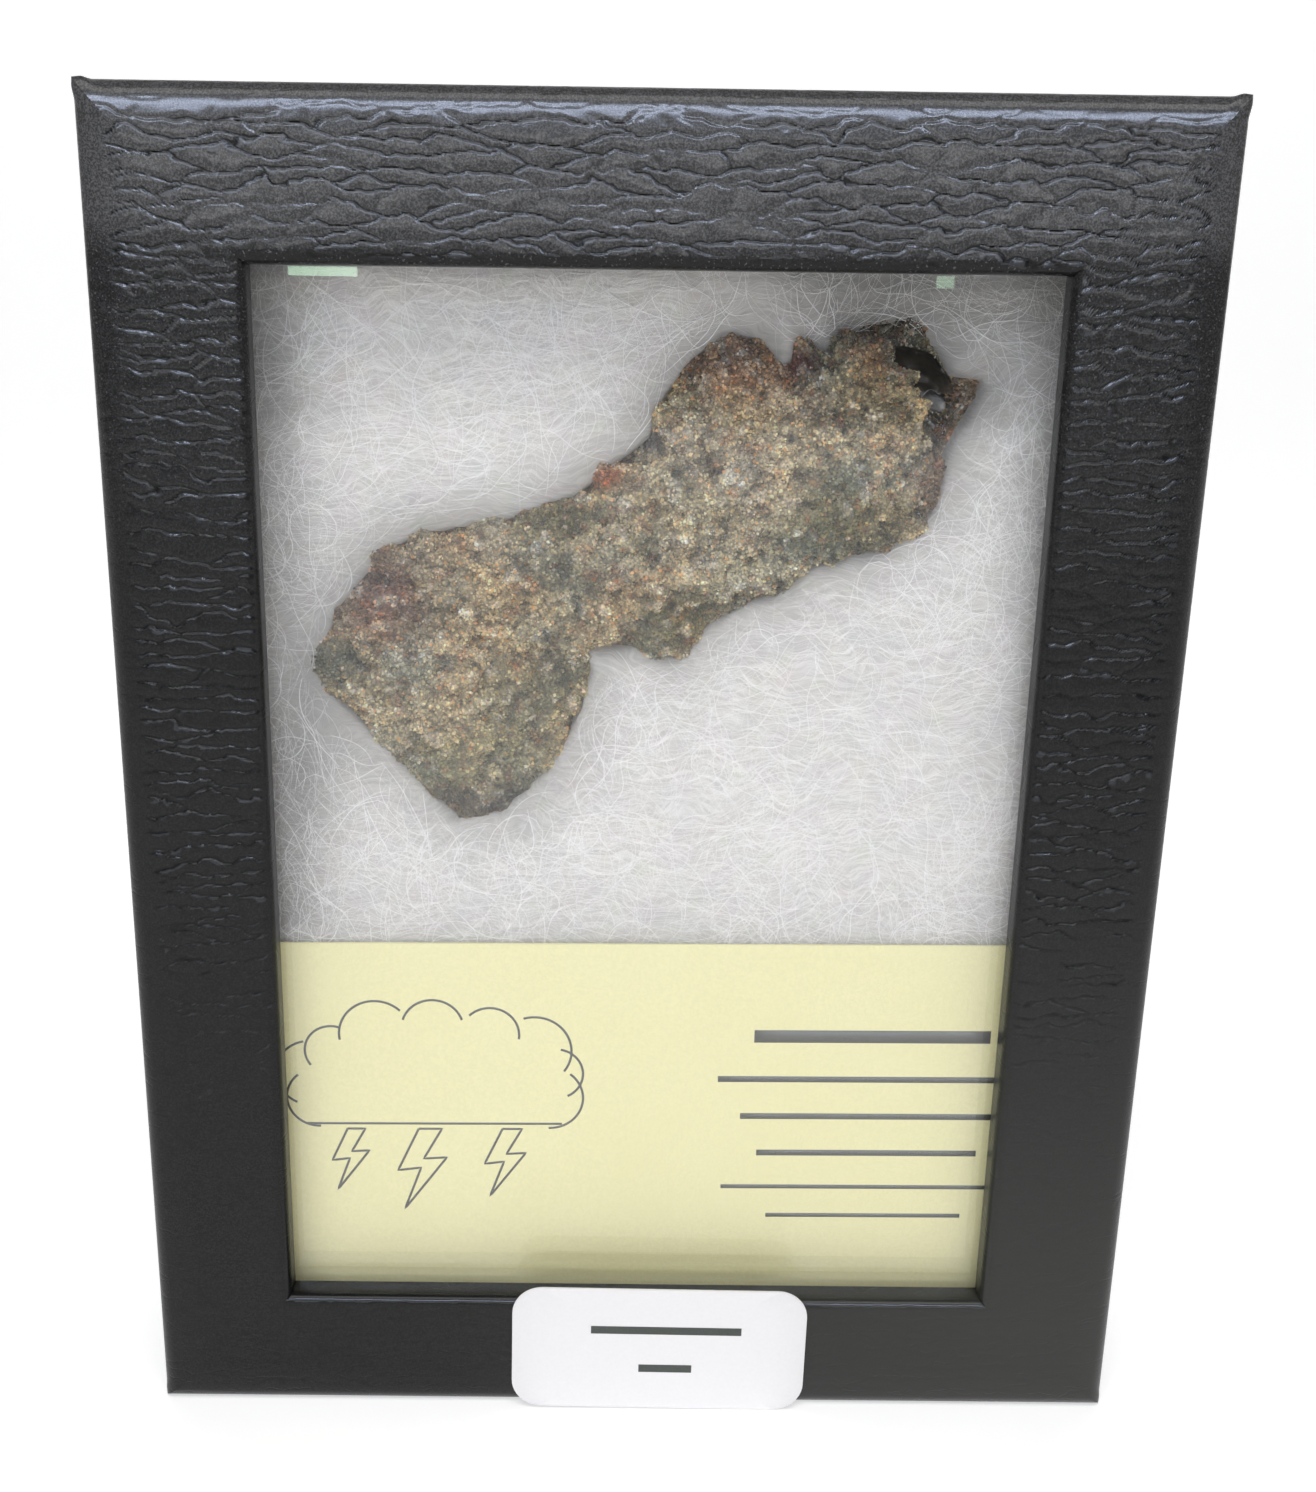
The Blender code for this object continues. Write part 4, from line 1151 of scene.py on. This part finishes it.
def add_rail(name, away, face_points, side_points, columns, material):
    """One rail from mitre to mitre; away is the side it lies on: (1, 0) right, (0, 1) top and so on.

    Each point of the section is carried straight from one mitre to the other.  It is then moved along the
    section's normal, out for puff and lip and in for crease, and less so on the sides and round the window
    near the mitres.  At the outer corners a bell curve round the rounding draws the paper out into an ear.
    """
    borders = {
        (1, 0): BOX[1] - WINDOW[1],
        (-1, 0): WINDOW[0] - BOX[0],
        (0, 1): BOX[3] - WINDOW[3],
        (0, -1): WINDOW[2] - BOX[2],
    }
    rings = {side: rail_section(border, face_points, side_points) for side, border in borders.items()}
    ring, way, kinds = rings[away]
    out = {side: rings[side][0][:, 0][:, None] for side in borders}
    f = np.linspace(0.0, 1.0, columns)[None, :]
    left, right = WINDOW[0] - out[(-1, 0)], WINDOW[1] + out[(1, 0)]
    foot, head = WINDOW[2] - out[(0, -1)], WINDOW[3] + out[(0, 1)]
    if away[0]:
        x = (right if away[0] > 0 else left) + 0.0 * f
        z = foot + (head - foot) * f
        span = head - foot
        sheet_x = (WINDOW[1] + way[:, None] if away[0] > 0 else WINDOW[0] - way[:, None]) + 0.0 * f
        sheet_z = z
        ends = ((0.2 * away[0], 0.0), (0.45 * away[0], 0.75))
    else:
        z = (head if away[1] > 0 else foot) + 0.0 * f
        x = left + (right - left) * f
        span = right - left
        sheet_z = (WINDOW[3] + way[:, None] if away[1] > 0 else WINDOW[2] - way[:, None]) + 0.0 * f
        sheet_x = x
        sideways, lift = (0.45, 0.75) if away[1] > 0 else (0.2, 0.0)
        ends = ((-sideways, lift), (sideways, lift))
    y = ring[:, 1][:, None] + 0.0 * f
    tangent = np.roll(ring, -1, axis=0) - np.roll(ring, 1, axis=0)
    tangent /= np.linalg.norm(tangent, axis=1, keepdims=True)
    outwards = np.stack([away[0] * tangent[:, 1], -tangent[:, 0], away[1] * tangent[:, 1]], axis=1)
    crease, lip, puffed = paper_creases(sheet_x, sheet_z)
    from_end = np.minimum(f, 1.0 - f) * span
    on_face = (kinds == FACE).astype(float)
    near_face = np.convolve(np.pad(on_face, 3, mode="wrap"), np.ones(7) / 7, mode="valid")[:, None]
    fade = near_face + (1.0 - near_face) * smooth_step(from_end / 0.7)
    wall = smooth_step((ring[:, 1:2] - 0.07) / 0.14)
    papered = (kinds < RIM).astype(float)[:, None] * smooth_step((way[:, None] + 0.6) / 1.4) * fade
    papered = papered * (1.0 - 0.92 * wall)
    height = (0.05 * puffed + LIP_HEIGHT * lip - CREASE_DEPTH * crease) * papered - 0.03 * papered
    height = height * (0.8 if away[0] else 1.0)
    points = np.stack([x, y, z], axis=-1) + outwards[:, None, :] * height[..., None]
    turn = np.degrees(np.arctan2(outwards[:, 0] * away[0] + outwards[:, 2] * away[1], -outwards[:, 1]))
    bell = np.exp(-(((turn - 52.0) / 24.0) ** 2)) * (kinds == ROUNDING)
    bell = bell + np.exp(-((ring[:, 1] - CROWN_FADE) / 1.6) ** 2) * (kinds == SIDE) * 0.32
    for number, (ear_x, ear_z) in enumerate(ends):
        distance = (f if number == 0 else 1.0 - f) * span
        plateau = 1.0 - smooth_step((distance - EAR_SPAN[0]) / (EAR_SPAN[1] - EAR_SPAN[0]))
        tip = np.exp(-((distance / 0.4) ** 2))
        reach = EAR_REACH * bell[:, None] * (plateau - 0.25 * tip)
        points[..., 0] += ear_x * reach
        points[..., 2] += ear_z * reach
    count = len(ring)
    grid = points.transpose(1, 0, 2)
    quads = grid_quads(columns, count, closed=True)
    caps = np.stack([np.arange(count)[::-1], np.arange(count) + (columns - 1) * count])
    flip = away[0] < 0 or away[1] > 0
    faces = [quads[:, ::-1], caps[:, ::-1]] if flip else [quads, caps]
    rail = new_piece(name, grid, faces, material)
    add_values(rail, "crease", (crease * papered).T.ravel())
    add_values(rail, "lip", (lip * papered).T.ravel())
    # mask for the painted shade in the window's fold: full on the top rail, weaker on the others
    tucked = smooth_step((1.5 - ring[:, 0:1]) / 1.1) * (1.0 if away[1] > 0 else 0.3) + 0.0 * f
    add_values(rail, "tucked", tucked.T.ravel())
    rail.data.set_sharp_from_angle(angle=math.radians(65))
    return rail


def lid_paper():
    """The lid's black paper, with painted light and shade: creases painted dark at the bottom, a painted
    bluish highlight on their lips and painted glints near the top.

    It is painted lighter towards the top, as light from above, except in the window's upper fold, which
    keeps painted shade there, and it is painted lighter grey at the lower right corner as painted light.
    """
    dark, light = (0.0065, 0.0065, 0.0065), (0.0160, 0.0160, 0.0168)
    material, tree, shader = black_paper("lid_paper", 0.5, dark, light, 0.32)
    shader.inputs["Specular IOR Level"].default_value = 0.06
    shader.inputs["Coat Weight"].default_value = 0.38
    shader.inputs["Coat Roughness"].default_value = 0.14
    crease, lip, tucked = [stored_value(tree, name) for name in ("crease", "lip", "tucked")]
    own = shader.inputs["Base Color"].links[0].from_socket
    place = object_place(tree)
    axes = add_node(tree, "ShaderNodeSeparateXYZ", {"Vector": place}).outputs
    height = axes["Z"]
    # painted light: the colour is lifted towards the top of the lid, most on the top rail, as if lit from
    # above
    upper = soft_range(tree, height, 0.064, 0.096, 0.85, 2.5)
    painted_top_light = math_node(tree, "MULTIPLY", upper, soft_range(tree, height, 0.0955, 0.0995, 1.0, 2.75))
    # painted shade in the window's upper fold: the painted top light and the lips' painted highlight are
    # held back there
    fold_shade_factor = soft_range(tree, tucked, 0.0, 1.0, 1.0, 0.25)
    painted_top_light = math_node(tree, "MULTIPLY", painted_top_light, fold_shade_factor)
    own = scaled(tree, own, painted_top_light)
    # painted glints: sparse light specks, stronger towards the top
    glints = noise_texture(tree, place, 5600.0, 0.0)
    painted_glint = soft_range(tree, glints.outputs["Fac"], 0.70, 0.80, 0.0, 0.7)
    painted_glint = math_node(tree, "MULTIPLY", painted_glint, soft_range(tree, height, 0.070, 0.098, 0.08, 1.0))
    own = blend_colours(tree, painted_glint, own, (0.13, 0.13, 0.14, 1.0))
    # painted highlight on the creases' lips, bluish and brighter towards the top
    lip_highlight = soft_range(tree, lip, 0.1, 0.6, 0.0, 0.9)
    lip_highlight_strength = soft_range(tree, height, 0.086, 0.100, 0.042, 0.115)
    lip_highlight_colour = scaled(tree, (0.93, 0.97, 1.1), lip_highlight_strength)
    own = blend_colours(tree, math_node(tree, "MULTIPLY", lip_highlight, fold_shade_factor), own, lip_highlight_colour)
    # painted light: the lower right corner is painted a lighter grey
    to_right, to_foot = soft_range(tree, axes["X"], -0.025, 0.036), soft_range(tree, height, 0.06, 0.0)
    painted_corner_light = math_node(tree, "MULTIPLY", to_right, to_foot)
    own = blend_colours(tree, painted_corner_light, own, (0.037, 0.038, 0.035, 1.0))
    # painted shade: the bottoms of the creases are painted almost black
    deep = soft_range(tree, crease, 0.15, 0.75, 0.0, 0.92)
    colour = blend_colours(tree, deep, own, (0.003, 0.003, 0.003, 1.0))
    tree.links.new(colour, shader.inputs["Base Color"])
    return material


paper = lid_paper()
rails = [
    add_rail("lid_rail_top", (0, 1), 90, 26, 460, paper),
    add_rail("lid_rail_bottom", (0, -1), 56, 22, 320, paper),
    add_rail("lid_rail_left", (-1, 0), 54, 18, 700, paper),
    add_rail("lid_rail_right", (1, 0), 54, 18, 700, paper),
]
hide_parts("lid_frame")

# ---- price sticker ----
# A plain white paper label with rounded corners, stuck over the lower rail so that it covers the window's
# lower edge.  Two short printed rules stand where a name and a price would be.

STICKER_SIZE = (25.4, 11.9)
STICKER_CORNER = 2.6
STICKER_MIDDLE = (2.0, 6.15)
STICKER_TILT = math.radians(-0.5)
STICKER_BACK = -0.1
STICKER_THICKNESS = 0.15
STICKER_EDGE = 0.06
STICKER_RULES = ((1.9, 13.0, 0.75), (-1.9, 4.6, 0.75))


def on_sticker(u, v, out):
    """Sticker coordinates, in mm from its middle, to space; out counts from its back."""
    x = STICKER_MIDDLE[0] + u * math.cos(STICKER_TILT) - v * math.sin(STICKER_TILT)
    z = STICKER_MIDDLE[1] + u * math.sin(STICKER_TILT) + v * math.cos(STICKER_TILT)
    return np.stack([x, STICKER_BACK - out + 0.0 * x, z], axis=-1)


def rounded_outline(width, height, corner, steps=12):
    """A rounded rectangle, anticlockwise, as quarter arcs about its four corner centres."""
    across, up = width / 2 - corner, height / 2 - corner
    arcs = []
    for x, z, start in ((across, up, 0.0), (-across, up, 90.0), (-across, -up, 180.0), (across, -up, 270.0)):
        angles = np.radians(start + np.linspace(0.0, 90.0, steps))
        arcs.append(np.stack([x + corner * np.cos(angles), z + corner * np.sin(angles)], axis=1))
    return np.concatenate(arcs)


def add_sticker():
    """Rings from the middle of the front out to a rounded edge and back to the middle of the back."""
    outline = rounded_outline(*STICKER_SIZE, STICKER_CORNER)
    flat = 1.0 - STICKER_EDGE / STICKER_SIZE[0] - 0.004
    profile = [(share, STICKER_THICKNESS) for share in (0.0, 0.35, 0.7, flat)]
    profile += [(1.0, STICKER_THICKNESS - STICKER_EDGE), (1.0, 0.0), (0.5, 0.0), (0.0, 0.0)]
    rings = [on_sticker(outline[:, 0] * share, outline[:, 1] * share, out) for share, out in profile]
    points = np.stack(rings)
    faces = [grid_quads(len(profile), len(outline), closed=True)]
    material, tree, shader = new_material("sticker_paper", 0.45)
    place = object_place(tree)
    fibre = noise_texture(tree, place, 3500.0, 3.0)
    colour = blend_colours(tree, fibre.outputs["Fac"], (0.83, 0.82, 0.835, 1.0), (0.89, 0.88, 0.89, 1.0))
    tree.links.new(colour, shader.inputs["Base Color"])
    add_relief(tree, shader, fibre.outputs["Fac"], 0.15, 0.02)
    sticker = new_piece("blank_sticker", points, faces, material)
    weld(sticker.data)
    sticker.data.set_sharp_from_angle(angle=math.radians(50))
    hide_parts("price_sticker")


def add_sticker_rules():
    """Two short dark rules, each a slim slab on the sticker."""
    pieces = []
    for v, width, height in STICKER_RULES:
        across, up = np.linspace(-width / 2, width / 2, 9), np.linspace(v - height / 2, v + height / 2, 3)
        u, w = np.meshgrid(across, up)
        front = on_sticker(u + 0.6, w, STICKER_THICKNESS + 0.012)
        back = on_sticker(u + 0.6, w, STICKER_THICKNESS - 0.02)
        pieces.append(slab(front, back))
    first, second = pieces
    points = np.concatenate([first[0], second[0]])
    faces = first[1] + [block + len(first[0]) for block in second[1]]
    material, tree, shader = new_material("dark_ink", 0.5)
    place = object_place(tree)
    specks = noise_texture(tree, place, 8000.0, 2.0)
    ink = blend_colours(tree, specks.outputs["Fac"], (0.030, 0.040, 0.034, 1.0), (0.075, 0.085, 0.075, 1.0))
    tree.links.new(ink, shader.inputs["Base Color"])
    piece = new_piece("sticker_rules", points, faces, material)
    piece.data.set_sharp_from_angle(angle=math.radians(50))


add_sticker()
add_sticker_rules()

# ---- studio ----
# A pale sweep, a broad lamp overhead, a soft one in front with a strip that only shows in gloss, a low
# lamp that fills the shade, and two slim ones that show as streaks in the glass.  The camera stands close
# in front, near the height of the box's top, and looks down on it.

SWEEP_HALF_WIDTH = 1.6
SWEEP_FRONT, SWEEP_BACK = -1.8, 0.55
SWEEP_CURVE = 0.35
SWEEP_HEIGHT = 1.5
GLOW = 0.5
COOL = (0.66, 0.76, 1.0)
STREAK = (0.66, 1.0, 0.70)


def add_sweep():
    """A floor that curves up into a wall: a profile in y and z carried along x.

    It glows a little from just in front of the box backwards, so that it is as pale as white paper.
    """
    angles = np.linspace(-math.pi / 2, 0.0, 17)
    curve = np.stack([SWEEP_BACK + SWEEP_CURVE * np.cos(angles), SWEEP_CURVE * (1 + np.sin(angles))], axis=1)
    profile = np.concatenate([[(SWEEP_FRONT, 0.0)], curve, [(SWEEP_BACK + SWEEP_CURVE, SWEEP_HEIGHT)]])
    across = np.array((-SWEEP_HALF_WIDTH, SWEEP_HALF_WIDTH))
    x, y = np.meshgrid(across, profile[:, 0])
    z = np.broadcast_to(profile[:, 1][:, None], x.shape)
    points = np.stack([x, y, z], axis=-1).reshape(-1, 3)
    mesh = bpy.data.meshes.new("sweep")
    mesh.from_pydata(points.tolist(), [], grid_quads(len(profile), 2).tolist())
    mesh.shade_smooth()
    material, tree, shader = new_material("pale_paper", 0.9)
    place = object_place(tree)
    tooth = noise_texture(tree, place, 300.0, 2.0)
    colour = blend_colours(tree, tooth.outputs["Fac"], (0.86, 0.86, 0.86, 1.0), (0.89, 0.89, 0.89, 1.0))
    tree.links.new(colour, shader.inputs["Base Color"])
    apart = add_node(tree, "ShaderNodeSeparateXYZ", {"Vector": place})
    lit = soft_range(tree, apart.outputs["Y"], -0.42, -0.1, 0.0, GLOW)
    tree.links.new(lit, shader.inputs["Emission Strength"])
    shader.inputs["Emission Color"].default_value = (1.0, 1.0, 1.0, 1.0)
    mesh.materials.append(material)
    sweep = bpy.data.objects.new("sweep", mesh)
    bpy.context.scene.collection.objects.link(sweep)


def add_lamp(name, place, target, size, power, colour=(1.0, 1.0, 1.0), only_gloss=False):
    """A rectangular area lamp that looks at target; places and sizes are in metres.

    only_gloss keeps it to reflections, like a strip of light too weak to add to the room's.
    """
    data = bpy.data.lights.new(name, "AREA")
    data.shape = "RECTANGLE"
    data.size, data.size_y = size
    data.energy = power
    data.color = colour
    lamp = bpy.data.objects.new(name, data)
    lamp.location = place
    away = np.array(target) - np.array(place)
    lamp.rotation_euler = (
        math.acos(-away[2] / np.linalg.norm(away)),
        0.0,
        math.atan2(-away[0], away[1]),
    )
    lamp.visible_camera = False
    lamp.visible_diffuse = not only_gloss
    bpy.context.scene.collection.objects.link(lamp)


PICTURE_HEIGHT = 1492
FOCAL_PIXELS = 1557.2
CAMERA_PLACE = (-4.39, -115.94, 93.18)
CAMERA_PITCH, CAMERA_ROLL, CAMERA_YAW = 15.688, -0.38, 0.722
FRAME_SHIFT = (55.2, -2.9)


def add_camera():
    """Square to the box, then pitched down, rolled and yawed about the world's axes in that order."""
    data = bpy.data.cameras.new("camera")
    data.sensor_width = 36.0
    data.lens = 36.0 * FOCAL_PIXELS / PICTURE_HEIGHT
    data.shift_x = FRAME_SHIFT[0] / PICTURE_HEIGHT
    data.shift_y = FRAME_SHIFT[1] / PICTURE_HEIGHT
    data.clip_start = 0.001
    camera = bpy.data.objects.new("camera", data)
    x, y, z = CAMERA_PLACE
    camera.location = (x * MM, (y - BACK_DEPTH / 2) * MM, z * MM)
    camera.rotation_euler = camera_turn()
    bpy.context.scene.collection.objects.link(camera)
    bpy.context.scene.camera = camera


def camera_turn():
    """The camera's turn in space, from the turns of the picture's own axes."""
    square = Matrix(((1, 0, 0), (0, 0, -1), (0, 1, 0)))
    turns = [
        Matrix.Rotation(math.radians(angle), 3, axis)
        for angle, axis in ((CAMERA_YAW, "Z"), (CAMERA_ROLL, "Y"), (CAMERA_PITCH, "X"))
    ]
    right, down, ahead = turns[0] @ turns[1] @ turns[2] @ square
    return Matrix((right, -down, -ahead)).transposed().to_euler()


add_sweep()
add_lamp("key", (0.0, -0.5, 0.95), (0.0, 0.0, 0.05), (1.0, 0.4), 4.95, (1.0, 0.985, 0.96))
add_lamp("window", (-0.22, -0.95, 0.62), (0.0, 0.0, 0.08), (0.9, 0.6), 2.5, (0.84, 0.89, 1.0))
add_lamp("strip", (0.0, -0.95, 0.62), (0.0, 0.0, 0.08), (1.2, 0.07), 10.5, COOL, only_gloss=True)
add_lamp("room", (0.0, -1.2, 0.25), (0.0, 0.0, 0.1), (1.2, 0.13), 2.2)
add_lamp("left_streak", (-0.194, -1.007, 0.1145), (-0.0245, -0.007, 0.0955), (0.047, 0.0085), 0.007, STREAK)
add_lamp("right_streak", (0.235, -1.007, 0.112), (0.021, -0.007, 0.0952), (0.012, 0.008), 0.0009, STREAK)
world = bpy.data.worlds.new("studio")
bpy.context.scene.world = world
world.use_nodes = True
world.node_tree.nodes["Background"].inputs["Color"].default_value = (1.0, 0.99, 0.98, 1.0)
world.node_tree.nodes["Background"].inputs["Strength"].default_value = 0.10
bpy.context.scene.view_settings.view_transform = "Standard"
add_camera()
